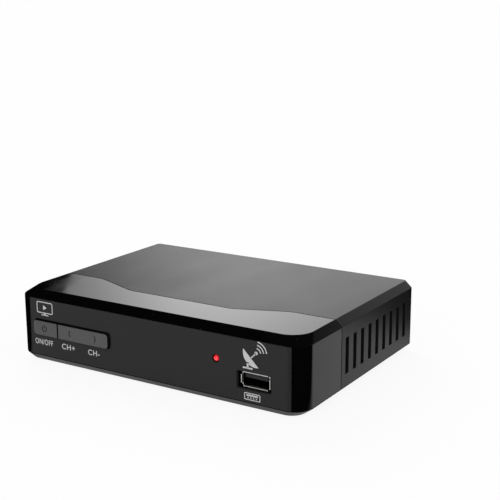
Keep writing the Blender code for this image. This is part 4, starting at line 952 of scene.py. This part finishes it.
@dataclass
class CaseShells:
    """Glossy front, satin cover, bottom shell and rear panel."""

    edge_rounding: float = 0.20 * MM
    fine_rounding: float = 0.12 * MM
    outer_reach: float = 0.6 * MM
    top_depth: float = 3.3 * MM
    rim: float = 4.0 * MM
    ground_clear: float = 3.4 * MM
    face_band: float = 0.1 * MM

    def build(self) -> None:
        """Round the outer edges of each shell."""
        self.front_bezel()
        self.top_cover()
        self.bottom_shell()
        self.rear_panel()

    def shell(
        self, node: str, finish: Finish, chosen: Callable[[Vector, Vector], bool], width: float
    ) -> None:
        """Stand a copy with rounded edges for a node.

        Args:
            node: The node's name.
            finish: Its surface.
            chosen: Test of the edges to round.
            width: Width of the rounding.
        """
        form = Form().copied(node)
        form.soften(form.sharp(chosen), width)
        form.finish(f"{node}_moulding", finish, stands_for=[node], weighted=True)

    def front_bezel(self) -> None:
        """The glossy front, with its chamfer and wavy edge softened."""
        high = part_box("front_bezel")[1]

        def outer(first: Vector, second: Vector) -> bool:
            """True for the edges of the top and of the joint with the cover."""
            return max(first.z, second.z) > self.rim and all(
                end.z > high.z - self.top_depth or abs(end.x) > high.x - self.outer_reach
                for end in (first, second)
            )

        self.shell("front_bezel", GLOSS, outer, self.edge_rounding)

    def top_cover(self) -> None:
        """The satin cover, with its vents' mouths softened."""
        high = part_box("top_cover")[1]

        def outer(first: Vector, second: Vector) -> bool:
            """True for edges on the outside of the cover, above its rim."""
            return max(first.z, second.z) > self.rim and all(
                end.z > high.z - self.top_depth
                or end.y > high.y - self.outer_reach
                or abs(end.x) > high.x - self.outer_reach
                for end in (first, second)
            )

        self.shell("top_cover", SATIN, outer, self.fine_rounding)

    def bottom_shell(self) -> None:
        """The bottom shell, with its skirt softened."""

        def outer(first: Vector, second: Vector) -> bool:
            """True for edges of the skirt and the underside."""
            return max(first.z, second.z) < self.ground_clear

        self.shell("bottom_shell", BASE_SATIN, outer, self.fine_rounding)

    def rear_panel(self) -> None:
        """The rear panel, with its holes' edges softened."""
        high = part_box("rear_panel")[1]

        def outer(first: Vector, second: Vector) -> bool:
            """True for edges on the panel's back face."""
            return min(first.y, second.y) > high.y - self.face_band

        self.shell("rear_panel", BLACK, outer, self.fine_rounding)


@dataclass
class FrontPanel:
    """Smoked acrylic strip with its pale print."""

    front: float = -56.25 * MM
    straight: float = 66.8 * MM
    corner: float = 8.2 * MM
    masked: float = 66.85 * MM
    ink: float = 0.02 * MM
    letter_height: float = 2.5 * MM
    letter_weight: float = 0.04 * MM
    label_level: float = 8.6 * MM
    edge_rounding: float = 0.1 * MM
    screen_place: tuple[float, float] = (-58.5 * MM, 26.2 * MM)
    dish_place: tuple[float, float] = (52.6 * MM, 23.3 * MM)
    port_sign_place: tuple[float, float] = (51.6 * MM, 6.0 * MM)
    labels: tuple[tuple[str, float, float], ...] = (
        ("ON/OFF", -59.8 * MM, 10.6 * MM),
        ("CH+", -45.3 * MM, 7.6 * MM),
        ("CH-", -30.6 * MM, 6.5 * MM),
    )

    def build(self) -> None:
        """Make the panel and print on it."""

        def outer(first: Vector, second: Vector) -> bool:
            """True for edges on the panel's face."""
            return all(self.proud(end) < self.edge_rounding for end in (first, second))

        form = Form().copied("front_panel")
        form.soften(form.sharp(outer), self.edge_rounding)
        form.finish(
            "panel_strip",
            SMOKE,
            stands_for=["front_panel"],
            weighted=True,
            second=GLOSS,
            where=lambda middle, normal: middle.x < -self.masked,
        )
        for words, middle, width in self.labels:
            self.label(words, middle, width)
        self.screen_sign()
        self.dish_sign()
        self.port_sign()

    def face(self, x: float) -> float:
        """Y of the panel's face, which turns back at the case's corners."""
        past = max(0.0, abs(x) - self.straight)
        return self.front + self.corner - sqrt(max(0.0, self.corner**2 - past**2))

    def proud(self, point: Vector) -> float:
        """How far a point lies behind the panel's face."""
        return point.y - self.face(point.x)

    def label(self, words: str, middle: float, width: float) -> None:
        """Print a word under a key.

        Args:
            words: What it says.
            middle: X of its middle.
            width: Its width.
        """
        curve = bpy.data.curves.new("lettering", "FONT")
        curve.body = words
        curve.align_x = "CENTER"
        curve.size = self.letter_height / 0.7
        curve.space_character = 1.12
        curve.offset = self.letter_weight
        curve.extrude = self.ink / 2
        draft = bpy.data.objects.new("lettering", curve)
        bpy.context.scene.collection.objects.link(draft)
        bpy.context.view_layer.update()
        mesh = bpy.data.meshes.new_from_object(draft.evaluated_get(bpy.context.evaluated_depsgraph_get()))
        bpy.data.objects.remove(draft)
        form = self.blank((middle, self.label_level))
        form.mesh.from_mesh(mesh)
        places = [corner.co.x for corner in form.mesh.verts]
        squeeze = width / (max(places) - min(places))
        bmesh.ops.scale(form.mesh, vec=(squeeze, 1.0, 1.0), verts=form.mesh.verts)
        tail = words.lower()
        for sign, word in (("/", "_"), ("+", "_up"), ("-", "_down")):
            tail = tail.replace(sign, word)
        self.print_on(form, f"label_{tail}")

    def blank(self, place: tuple[float, float]) -> Form:
        """An empty form that looks to the front, at an X and Z of the panel."""
        x, z = place
        return Form((x, 0.0, z), Facing.FRONT)

    def screen_sign(self) -> None:
        """Print a screen on a stand, at the panel's left end."""
        form = self.blank(self.screen_place)
        half = self.ink / 2
        form.sleeve(9.4 * MM, 5.4 * MM, 0.42 * MM, -half, half, 0.9 * MM)
        form.disc(1.35 * MM, self.ink, (-0.2 * MM, 0.0), 3)
        form.bar((0.0, -2.65 * MM), (0.0, -3.35 * MM), 0.9 * MM, self.ink)
        form.bar((-2.1 * MM, -3.5 * MM), (2.1 * MM, -3.5 * MM), 0.42 * MM, self.ink)
        self.print_on(form, "sign_screen")

    def dish_sign(self) -> None:
        """Print a dish with its feed and waves, above the data port."""
        form = self.blank(self.dish_place)
        middle = (0.66 * MM, 1.36 * MM)
        form.disc(6.0 * MM, self.ink, middle, ROUND_STEPS)
        tilt = Vector((1.0, 1.0, 0.0)).normalized()
        bmesh.ops.bisect_plane(
            form.mesh,
            geom=[*form.mesh.verts, *form.mesh.edges, *form.mesh.faces],
            plane_co=Vector((*middle, 0.0)) - 3.2 * MM * tilt,
            plane_no=tilt,
            clear_outer=True,
        )
        form.capped()
        feed = (0.9 * MM, 1.6 * MM)
        form.bar((-1.7 * MM, -1.0 * MM), feed, 0.5 * MM, self.ink)
        form.disc(0.75 * MM, self.ink, feed)
        for radius in (2.1 * MM, 3.5 * MM, 4.9 * MM):
            form.arc(radius, 0.5 * MM, 8.0, 74.0, self.ink, (*feed, 0.0))
        form.bar((-3.1 * MM, -2.7 * MM), (-3.1 * MM, -5.1 * MM), 0.9 * MM, self.ink)
        form.bar((-5.4 * MM, -5.3 * MM), (-0.8 * MM, -5.3 * MM), 0.7 * MM, self.ink)
        self.print_on(form, "sign_dish")

    def port_sign(self) -> None:
        """Print the outline of a data socket, under the data port."""
        form = self.blank(self.port_sign_place)
        half = self.ink / 2
        form.sleeve(7.6 * MM, 3.1 * MM, 0.36 * MM, -half, half, 0.5 * MM)
        form.bar((-2.7 * MM, 0.5 * MM), (2.7 * MM, 0.5 * MM), 0.7 * MM, self.ink)
        for x in (-1.95 * MM, -0.65 * MM, 0.65 * MM, 1.95 * MM):
            form.bar((x, -0.25 * MM), (x, -0.85 * MM), 0.5 * MM, self.ink)
        self.print_on(form, "sign_data_port")

    def print_on(self, form: Form, name: str) -> None:
        """Lay a flat form on the panel's face as ink.

        Args:
            form: The form, with its ink's middle at a height of 0.
            name: The piece's name.
        """
        bmesh.ops.transform(form.mesh, matrix=form.place, verts=form.mesh.verts)
        form.place = Matrix.Identity(4)
        for corner in form.mesh.verts:
            corner.co.y += self.face(corner.co.x) - self.ink / 2
        form.finish(name, WHITE_INK)


@dataclass
class KeyRow:
    """Power key and channel rocker, with the signs on their faces."""

    face: float = -57.75 * MM
    middle: float = 16.85 * MM
    sign: float = 0.02 * MM
    stroke: float = 0.40 * MM
    wall_turn: float = -0.6
    power_x: float = -57.9 * MM
    ring: float = 1.25 * MM
    chevron: float = 1.5 * MM
    rim_band: float = 0.4 * MM
    rim_rounding: float = 0.05 * MM
    arrows: tuple[tuple[str, float, float], ...] = (("up", -43.0 * MM, -1.0), ("down", -28.5 * MM, 1.0))

    def build(self) -> None:
        """Make both keys and their signs."""
        for node, body in (("power_key", Body.POWER_KEY), ("channel_rocker", Body.CHANNEL_ROCKER)):
            form = Form().copied(node)
            form.soften(form.sharp(self.on_rim), self.rim_rounding, 1)
            # Each key's walls get the near-black painted shade, its face the grey cap plastic.
            form.finish(f"{node}_cap", KEY_CAP, body, [node], True, KEY_WALL_PAINTED_SHADE, self.on_wall)
        self.power_sign()
        for name, x, way in self.arrows:
            self.arrow_sign(f"channel_{name}_sign", x, way)

    def on_rim(self, first: Vector, second: Vector) -> bool:
        """True for edges round a key's face."""
        return max(first.y, second.y) < self.face + self.rim_band

    def on_wall(self, middle: Vector, normal: Vector) -> bool:
        """True for faces that don't look to the front, which get the painted shade."""
        return normal.y > self.wall_turn

    def power_sign(self) -> None:
        """Broken ring with an upright bar."""
        form = Form((self.power_x, self.face, self.middle), Facing.FRONT)
        form.arc(self.ring, self.stroke, 125.0, 290.0, 2 * self.sign)
        form.block((self.stroke, 1.3 * self.ring, 2 * self.sign), (0.0, 0.75 * self.ring, 0.0))
        form.finish("power_sign", KEY_SIGN, Body.POWER_KEY)

    def arrow_sign(self, name: str, x: float, way: float) -> None:
        """Slim arrowhead that points left or right.

        Args:
            name: The piece's name.
            x: Where its middle is.
            way: -1 points left and 1 right.
        """
        form = Form((x, self.face, self.middle), Facing.FRONT)
        point = (way * 0.22 * self.chevron, 0.0)
        for side in (-1.0, 1.0):
            tail = (-way * 0.22 * self.chevron, side * self.chevron)
            form.bar(point, tail, self.stroke, 2 * self.sign)
        form.finish(name, KEY_SIGN, Body.CHANNEL_ROCKER)


@dataclass
class StatusLight:
    """Red indicator that shows through the panel."""

    x: float = 34.1 * MM
    z: float = 19.3 * MM
    front: float = -56.45 * MM
    radius: float = 1.5 * MM
    length: float = 5.0 * MM
    base_radius: float = 1.9 * MM
    base_length: float = 1.0 * MM
    dome_steps: int = 12
    glow: float = 0.75

    def build(self) -> None:
        """Turn the lens with a domed end."""
        dome = [
            (self.radius * cos(turn), -self.radius + self.radius * sin(turn))
            for turn in (step * pi / 2 / self.dome_steps for step in range(self.dome_steps + 1))
        ]
        back = [(0.0, -self.length), (self.base_radius, -self.length)]
        collar = self.base_length - self.length
        back += [(self.base_radius, collar), (self.radius, collar)]
        centre = (self.x, self.front, self.z)
        red = (0.85, 0.022, 0.028)
        lit = GlowingLens("lit_red_lens", "red_lens", red, 0.18, centre, self.radius, self.glow)
        form = Form(centre, Facing.FRONT).turned([*back, *dome])
        form.finish("status_lens", lit, stands_for=["status_light"])


@dataclass
class DataPort:
    """Front data port: pressed shell with flared lips and springs, tongue and contacts."""

    x: float = 52.3 * MM
    z: float = 12.5 * MM
    mouth: float = -54.85 * MM
    width: float = 13.1 * MM
    height: float = 5.7 * MM
    length: float = 14.0 * MM
    sheet: float = 0.35 * MM
    flare: float = 0.34 * MM
    flare_length: float = 0.7 * MM
    lip_steps: int = 7
    tongue_level: float = 1.25 * MM
    tongue_set_back: float = 1.2 * MM

    def build(self) -> None:
        """Make the shell, the tongue and its contacts."""
        self.shell()
        form = self.form()
        length = self.length - self.tongue_set_back - 0.65 * MM
        middle = (0.0, self.tongue_level, -self.tongue_set_back - length / 2)
        form.block((11.1 * MM, 1.8 * MM, length), middle, 0.2 * MM)
        form.finish("data_port_insulator", BLACK, stands_for=["data_port_tongue"])
        form = self.form()
        path = ((0.32, -12.5), (0.32, -6.0), (-0.1, -4.4), (-0.22, -3.6), (-0.1, -2.9), (0.3, -2.0))
        for x in (-3.5 * MM, -1.0 * MM, 1.0 * MM, 3.5 * MM):
            form.ribbon(1.0 * MM, 0.15 * MM, millimetres(path), x)
        form.finish("data_port_contacts", GOLD)

    def form(self) -> Form:
        """A form that looks out of the port's mouth."""
        return Form((self.x, self.mouth, self.z), Facing.FRONT)

    def shell(self) -> None:
        """Closed sleeve with a flared lip on each side and two springs in its floor."""
        form = self.form()
        sleeve_end = -self.flare_length
        form.sleeve(self.width, self.height, self.sheet, -self.length, sleeve_end, 0.5 * MM)
        inside = 0.1 * MM
        floor = -self.length + self.sheet
        form.slab(self.width - inside, self.height - inside, -self.length, floor, 0.45 * MM)
        sides = (
            (0.0, self.height / 2, 11.6 * MM),
            (90.0, self.width / 2, 3.6 * MM),
            (180.0, self.height / 2, 11.6 * MM),
            (270.0, self.width / 2, 3.6 * MM),
        )
        for turn, reach, width in sides:
            middle = reach - self.sheet / 2
            path = [(middle, sleeve_end - inside)]
            for step in range(self.lip_steps + 1):
                share = step / self.lip_steps
                path.append((middle + self.flare * share**2, sleeve_end * (1.0 - share)))
            lip = form.ribbon(width, 0.9 * self.sheet, path)
            matrix = Matrix.Rotation(radians(turn), 3, "Z")
            bmesh.ops.rotate(form.mesh, verts=lip, cent=ORIGIN, matrix=matrix)
        path = ((-2.6, -7.0), (-2.35, -4.8), (-2.1, -3.4), (-2.15, -2.7), (-2.4, -1.8))
        for x in (-3.2 * MM, 3.2 * MM):
            form.ribbon(2.0 * MM, 0.2 * MM, millimetres(path), x)
        form.finish(
            "data_port_sleeve",
            TINPLATE,
            stands_for=["data_port_shell"],
            # Faces deep inside the shell get the tinplate's painted shade.
            second=TINPLATE_PAINTED_SHADE,
            where=self.is_inside,
        )

    def is_inside(self, middle: Vector, normal: Vector) -> bool:
        """True for faces deep inside the shell, which get the tinplate's painted shade."""
        edge = 0.2 * MM
        return (
            middle.y > self.mouth + self.flare_length
            and abs(middle.x - self.x) < self.width / 2 - edge
            and abs(middle.z - self.z) < self.height / 2 - edge
        )


@dataclass
class RearSockets:
    """Aerial input, sound and picture jacks, video socket and power inlet."""

    face: float = 45.25 * MM
    aerial: tuple[float, float] = (44.02 * MM, 16.45 * MM)
    nut_flat: float = 5.456 * MM
    nut_top: float = 3.8 * MM
    nut_foot: float = 1.6 * MM
    jack_level: float = 15.85 * MM
    video_tongue: Point = (-33.81 * MM, 45.85 * MM, 12.45 * MM)
    inlet_mouth: Point = (-54.87 * MM, 46.25 * MM, 16.05 * MM)
    jacks: tuple[tuple[str, float, Finish], ...] = (
        ("right_sound", -7.81 * MM, RED),
        ("left_sound", 3.19 * MM, WHITE),
        ("picture", 14.19 * MM, YELLOW),
    )

    def build(self) -> None:
        """Make all the sockets."""
        self.aerial_input()
        self.aerial_nut()
        for name, x, colour in self.jacks:
            self.jack(f"{name}_jack", x, colour)
        self.video_socket()
        self.power_inlet()

    def ring(self, profile: Profile, x: float, z: float) -> Form:
        """Turn a closed profile, given in millimetres, that looks out of the rear panel.

        Args:
            profile: Radius and height of each point, in millimetres.
            x: X of its axis.
            z: Z of its axis.

        Returns:
            The form.
        """
        form = Form((x, self.face, z), Facing.REAR)
        return form.turned(millimetres(profile), True)

    def aerial_input(self) -> None:
        """Threaded barrel, insulator and centre contact."""
        x, z = self.aerial
        barrel = (
            (3.70, -2.5),
            (6.20, -2.5),
            (6.20, -0.1),
            (6.10, 0.0),
            (4.75, 0.0),
            (4.75, 1.3),
            (4.38, 1.55),
            (4.38, 11.9),
            (3.95, 12.5),
            (3.85, 12.5),
            (3.70, 12.35),
        )
        form = self.ring(barrel, x, z)
        form.threaded(4.38 * MM, 0.34 * MM, 0.79 * MM, 1.6 * MM, 11.9 * MM)
        form.finish("aerial_barrel", NICKEL, stands_for=["aerial_socket_barrel"])
        core = (
            (0.60, -2.5),
            (3.64, -2.5),
            (3.64, 11.5),
            (3.44, 11.7),
            (1.75, 11.7),
            (1.60, 11.45),
            (1.05, 11.45),
            (0.60, 11.0),
        )
        self.ring(core, x, z).finish("aerial_insulator", WHITE, stands_for=["aerial_socket_core"])
        contact = ((0.30, 2.0), (0.56, 2.0), (0.56, 10.9), (0.45, 11.0), (0.30, 10.7))
        self.ring(contact, x, z).finish("aerial_contact", GOLD)

    def aerial_nut(self) -> None:
        """Hexagonal nut with its corners chamfered."""
        x, z = self.aerial
        profile = (
            (4.80, 1.85),
            (5.05, 1.60),
            (5.35, 1.60),
            (6.30, 1.60),
            (6.30, 3.80),
            (5.35, 3.80),
            (5.05, 3.80),
            (4.80, 3.55),
        )
        form = Form((x, self.face, z), Facing.REAR)
        form.turned(millimetres(profile), True, 72)
        middle = (self.nut_top + self.nut_foot) / 2
        for corner in form.mesh.verts:
            if corner.co.xy.length > 6.0 * MM:
                turn = corner.co.xy.angle_signed(Vector((1.0, 0.0))) % radians(60.0)
                reach = self.nut_flat / cos(turn - radians(30.0))
                drop = (reach - 5.35 * MM) * tan(radians(30.0))
                side = 1.0 if corner.co.z > middle else -1.0
                flat = corner.co.xy.normalized() * reach
                corner.co = (*flat, corner.co.z - side * drop)
        form.finish("aerial_nut", NICKEL, stands_for=["aerial_socket_nut"])

    def jack(self, name: str, x: float, colour: Finish) -> None:
        """One round jack: barrel, coloured insulator and sprung contact.

        Args:
            name: The jack's name.
            x: X of its axis.
            colour: Finish of its insulator.
        """
        barrel = (
            (3.55, -0.6),
            (5.00, -0.6),
            (5.00, -0.1),
            (4.90, 0.0),
            (4.15, 0.0),
            (4.15, 9.0),
            (4.00, 9.3),
            (3.70, 9.3),
            (3.55, 9.15),
        )
        core = (
            (1.60, -0.6),
            (3.50, -0.6),
            (3.50, 8.35),
            (3.35, 8.6),
            (3.10, 8.7),
            (2.10, 8.7),
            (1.75, 8.6),
            (1.60, 8.3),
        )
        contact = ((1.20, 0.5), (1.52, 0.5), (1.52, 7.3), (1.45, 7.5), (1.30, 7.5), (1.20, 7.2))
        z = self.jack_level
        self.ring(barrel, x, z).finish(f"{name}_sleeve", NICKEL, stands_for=[f"{name}_barrel"])
        self.ring(core, x, z).finish(f"{name}_insulator", colour, stands_for=[f"{name}_core"])
        self.ring(contact, x, z).finish(f"{name}_contact", NICKEL)

    def video_socket(self) -> None:
        """Sheet shell with softened mouth, tongue and its two rows of contacts."""
        low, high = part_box("video_socket_shell")
        form = Form().copied("video_socket_shell")
        at_mouth = form.sharp(lambda first, second: min(first.y, second.y) > high.y - 0.1 * MM)
        form.soften(at_mouth, 0.08 * MM)
        form.finish(
            "video_socket_sleeve",
            TINPLATE,
            stands_for=["video_socket_shell"],
            weighted=True,
            # Faces deep inside the shell get the tinplate's painted shade.
            second=TINPLATE_PAINTED_SHADE,
            where=lambda middle, normal: middle.y < high.y - 0.5 * MM
            and abs(middle.x - (low.x + high.x) / 2) < 7.2 * MM
            and low.z + 0.2 * MM < middle.z < high.z - 0.2 * MM,
        )
        form = Form().copied("video_socket_tongue")
        at_end = form.sharp(lambda first, second: min(first.y, second.y) > high.y - 2.0 * MM)
        form.soften(at_end, 0.2 * MM)
        form.finish("video_socket_insulator", BLACK, stands_for=["video_socket_tongue"])
        form = Form(self.video_tongue, Facing.REAR)
        for side, count in ((1.0, 10), (-1.0, 9)):
            for index in range(count):
                x = (index - (count - 1) / 2) * MM
                path = [(side * 0.49 * MM, -8.0 * MM), (side * 0.49 * MM, -0.5 * MM)]
                form.ribbon(0.45 * MM, 0.06 * MM, path, x)
        form.finish("video_socket_contacts", GOLD)

    def power_inlet(self) -> None:
        """Moulded body, centre pin and sprung side contact."""
        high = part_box("power_inlet_body")[1]
        form = Form().copied("power_inlet_body")
        at_mouth = form.sharp(lambda first, second: min(first.y, second.y) > high.y - 0.1 * MM)
        form.soften(at_mouth, 0.25 * MM, 3)
        form.finish("power_inlet_moulding", BLACK, stands_for=["power_inlet_body"], weighted=True)
        form = Form(self.inlet_mouth, Facing.REAR)
        pin = ((0.0, -8.9), (1.0, -8.9), (1.0, -0.6), (0.92, -0.3), (0.7, -0.08), (0.35, 0.0), (0.0, 0.0))
        form.turned(millimetres(pin))
        form.finish("power_inlet_contact_pin", NICKEL, stands_for=["power_inlet_pin"])
        form = Form(self.inlet_mouth, Facing.REAR)
        path = ((-3.0, -8.5), (-2.7, -6.0), (-2.35, -4.2), (-2.45, -3.2), (-2.9, -2.2))
        form.ribbon(1.8 * MM, 0.2 * MM, millimetres(path))
        form.finish("power_inlet_spring", NICKEL)


@dataclass
class Fixings:
    """Case screws, board screws and rubber feet."""

    head_height: float = 1.6 * MM
    head_flat: float = 1.45 * MM
    root: float = 0.95 * MM
    ridge: float = 0.24 * MM
    pitch: float = 0.9 * MM
    thread_start: float = 1.3 * MM
    thread_end: float = -0.3 * MM
    cross_reach: float = 1.15 * MM
    cross_width: float = 0.62 * MM
    cross_depth: float = 0.95 * MM

    def build(self) -> None:
        """Make each screw and foot in its CAD node's place."""
        for number in range(1, 5):
            self.screw(f"case_screw_{number}", Facing.DOWN)
            self.screw(f"board_screw_{number}", Facing.UP)
            self.foot(f"rubber_foot_{number}")

    def screw(self, node: str, facing: Facing) -> None:
        """Pan-headed screw with a cross recess and a real thread.

        Args:
            node: The CAD node that it stands for.
            facing: The way that its head looks.
        """
        low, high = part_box(node)
        seat = high.z - self.head_height if facing is Facing.UP else low.z + self.head_height
        length = high.z - low.z - self.head_height
        form = Form(((low.x + high.x) / 2, (low.y + high.y) / 2, seat), facing)
        tip = -length
        profile = (
            (0.0, tip),
            (0.35 * MM, tip),
            (self.root, tip + 1.4 * MM),
            (self.root, 0.0),
            (2.42 * MM, 0.0),
            (2.50 * MM, 0.08 * MM),
            (2.50 * MM, 0.62 * MM),
            (2.40 * MM, 0.95 * MM),
            (2.15 * MM, 1.25 * MM),
            (1.80 * MM, 1.48 * MM),
            (self.head_flat, self.head_height),
        )
        form.turned(profile, steps=40)
        form.crossed(form.capped()[0], self.cross_reach, self.cross_width, self.cross_depth)
        form.threaded(self.root, self.ridge, self.pitch, tip + self.thread_start, self.thread_end)
        form.finish(f"{node}_turned", BLACK_ZINC, stands_for=[node])

    def foot(self, node: str) -> None:
        """Round rubber foot with a dished tread.

        Args:
            node: The CAD node that it stands for.
        """
        low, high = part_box(node)
        form = Form(((low.x + high.x) / 2, (low.y + high.y) / 2, high.z), Facing.DOWN)
        profile = (
            (0.0, 0.0),
            (5.0, 0.0),
            (5.0, 1.1),
            (4.92, 1.4),
            (4.7, 1.62),
            (4.4, 1.7),
            (3.4, 1.7),
            (3.2, 1.64),
            (3.1, 1.5),
            (2.9, 1.42),
            (0.0, 1.42),
        )
        form.turned(millimetres(profile))
        form.finish(f"{node}_tread", RUBBER, stands_for=[node])


@dataclass
class Studio:
    """Pale floor, white surroundings, soft light and the photograph's camera."""

    camera_place: Point = (0.264515, -0.397499, 0.165115)
    azimuth: float = radians(32.053)
    elevation: float = radians(13.722)
    roll: float = radians(-0.248)
    lens: float = 76.77
    floor_size: float = 30.0
    floor_colour: Point = (0.80, 0.80, 0.80)
    floor_lift: float = 0.90
    ambient: float = 0.55
    # Floor regions that are black to glossy rays only, as painted dark reflections: each a direction and
    # the distances over which the dark comes in.
    beside: tuple[Point, float, float] = ((0.766, -0.643, 0.0), 87 * MM, 98 * MM)
    before: tuple[Point, float, float] = ((0.98, -0.20, 0.0), 68 * MM, 84 * MM)
    behind: tuple[Point, float, float] = (Axis.Y.value, 45 * MM, 95 * MM)
    left: tuple[Point, float, float] = ((-0.65, 0.75, 0.0), 0.0, 8 * MM)
    behind_share: float = 0.85
    lamps: tuple[tuple[str, Point, float, float], ...] = (
        ("key_lamp", (-0.62, 0.60, 0.62), 0.50, 40.0),
        ("front_fill", (0.30, -0.90, 0.55), 0.45, 60.0),
        ("side_fill", (0.95, 0.20, 0.45), 0.15, 60.0),
    )

    def build(self) -> None:
        """Set up the floor, world, lamps and camera."""
        settings = bpy.context.scene.view_settings
        settings.view_transform = "Standard"
        self.floor()
        self.world()
        for name, place, level, width in self.lamps:
            self.lamp(name, place, level, width)
        self.camera()

    def seen(self, board: NodeBoard) -> Wire:
        """1 for rays that show the surroundings as they are, 0 for light on the object."""
        names = ("Is Camera Ray", "Is Glossy Ray", "Is Transmission Ray")
        rays = [board.add("ShaderNodeLightPath", output=name) for name in names]
        return board.maths("MAXIMUM", board.maths("MAXIMUM", rays[0], rays[1]), rays[2])

    def floor(self) -> None:
        """Lay a white floor that keeps a soft shadow, and that is black to glossy rays beside and before
        the case, to its left and behind it: painted dark reflections.
        """
        form = bmesh.new()
        bmesh.ops.create_grid(form, x_segments=1, y_segments=1, size=self.floor_size / 2)
        mesh = bpy.data.meshes.new("floor")
        form.to_mesh(mesh)
        form.free()
        floor = bpy.data.objects.new("floor", mesh)
        bpy.context.scene.collection.objects.link(floor)
        made = bpy.data.materials.new("pale_floor")
        made.use_nodes = True
        board = NodeBoard(made.node_tree)
        cloth = board.add("ShaderNodeBsdfDiffuse", None, {"Color": self.floor_colour})
        white = board.add("ShaderNodeEmission", None, {"Color": ONES, "Strength": 1.0})
        share = self.floor_lift * self.seen(board)
        lifted = board.add("ShaderNodeMixShader", None, {0: share, 1: cloth, 2: white})
        glossy = board.add("ShaderNodeLightPath", output="Is Glossy Ray")
        sides = (self.beside, self.before, self.behind, self.left)
        beside, before, behind, left = (board.along(way).rise(start, full) for way, start, full in sides)
        rest = board.maths("MAXIMUM", left, self.behind_share * behind)
        # Painted dark reflections: these floor regions are black to glossy rays only.
        gloss_only_dark = board.maths("MAXIMUM", beside * before, rest) * glossy
        dark = board.add("ShaderNodeBsdfDiffuse", None, {"Color": (0.0, 0.0, 0.0)})
        surface = board.add("ShaderNodeMixShader", None, {0: gloss_only_dark, 1: lifted, 2: dark})
        board.add("ShaderNodeOutputMaterial", None, {"Surface": surface})
        mesh.materials.append(made)

    def world(self) -> None:
        """White to the camera, even light on the object and a studio in its gloss."""
        world = bpy.data.worlds.new("studio")
        bpy.context.scene.world = world
        world.use_nodes = True
        world.cycles.sampling_method = "NONE"
        board = NodeBoard(world.node_tree)
        height = board.along(Axis.Z.value)
        screen = board.along((0.742, 0.512, 0.432)).rise(-0.002, 0.002)
        across = board.along(Axis.X.value)
        slope = 0.70 + 1.95 * across.rise(-0.67, -0.54) - 0.75 * across.rise(-0.53, -0.42)
        slope = slope * (1.0 - 0.85 * across.rise(-0.1, 0.4))
        low = height.rise(0.58, 0.28)
        sky = slope * low + 0.03
        gloss_only_dark = board.along((-0.985, 0.174, 0.0)).rise(-0.2, 0.1)
        shaded = sky * (1.0 - gloss_only_dark * (1.0 - screen))
        glossy = board.add("ShaderNodeLightPath", output="Is Glossy Ray")
        direct = board.add("ShaderNodeLightPath", output="Is Camera Ray")
        level = self.ambient + (shaded - self.ambient) * glossy
        level = level + (1.0 - level) * direct
        surface = board.add("ShaderNodeBackground", None, {"Color": ONES, "Strength": level})
        board.add("ShaderNodeOutputWorld", None, {"Surface": surface})

    def lamp(self, name: str, place: Point, level: float, width: float) -> None:
        """Hang a broad soft lamp.

        Args:
            name: Its name.
            place: Direction that it stands in.
            level: Brightness of a white surface that faces it.
            width: Its apparent width in degrees.
        """
        data = bpy.data.lights.new(name, "SUN")
        data.energy = level * pi
        data.angle = radians(width)
        lamp = bpy.data.objects.new(name, data)
        lamp.rotation_euler = Vector(place).to_track_quat("Z", "Y").to_euler()
        lamp.visible_glossy = False
        bpy.context.scene.collection.objects.link(lamp)

    def camera(self) -> None:
        """Stand the camera where the photograph was taken from."""
        data = bpy.data.cameras.new("camera")
        data.lens = self.lens
        data.sensor_width = 36.0
        data.clip_start = 10 * MM
        turn, rise, roll = self.azimuth, self.elevation, self.roll
        back = Vector((sin(turn) * cos(rise), -cos(turn) * cos(rise), sin(rise)))
        right = (-back).cross(Vector(Axis.Z.value)).normalized()
        up = back.cross(right)
        across = cos(roll) * right + sin(roll) * up
        upright = cos(roll) * up - sin(roll) * right
        camera = bpy.data.objects.new("camera", data)
        turned = Matrix((across, upright, back)).transposed()
        camera.matrix_world = Matrix.Translation(self.camera_place) @ turned.to_4x4()
        bpy.context.scene.collection.objects.link(camera)
        bpy.context.scene.camera = camera


@dataclass
class InnerParts:
    """Parts behind the shells, kept in their CAD shapes."""

    def build(self) -> None:
        """Give each CAD node that stays in view its finish."""
        finishes = {
            BLACK: (
                "status_light_spacer",
                "board_link_header",
                "processor",
                "memory_chip_1",
                "memory_chip_2",
                "flash_chip",
                "filter_capacitor_1",
                "filter_capacitor_2",
                "filter_capacitor_3",
                "jack_block",
                "power_switch_body",
                "channel_up_switch_body",
                "channel_down_switch_body",
            ),
            KEY_CAP: ("power_switch_plunger", "channel_up_switch_plunger", "channel_down_switch_plunger"),
            MASK_GREEN: ("main_board", "key_board"),
            TINPLATE: ("tuner_can", "crystal_can"),
            EXTRUDED: ("heat_sink",),
            FERRITE: ("power_inductor",),
            DARK_LENS: ("infrared_receiver",),
        }
        for finish, nodes in finishes.items():
            for node in nodes:
                dress_node(node, finish)


def main() -> None:
    """Build the receiver's pieces and the studio round it."""
    logging.basicConfig(level=logging.INFO, format="%(message)s")
    sections = (
        CaseShells(),
        FrontPanel(),
        KeyRow(),
        StatusLight(),
        DataPort(),
        RearSockets(),
        Fixings(),
        InnerParts(),
        Studio(),
    )
    for section in sections:
        section.build()


if __name__ == "__main__":
    main()
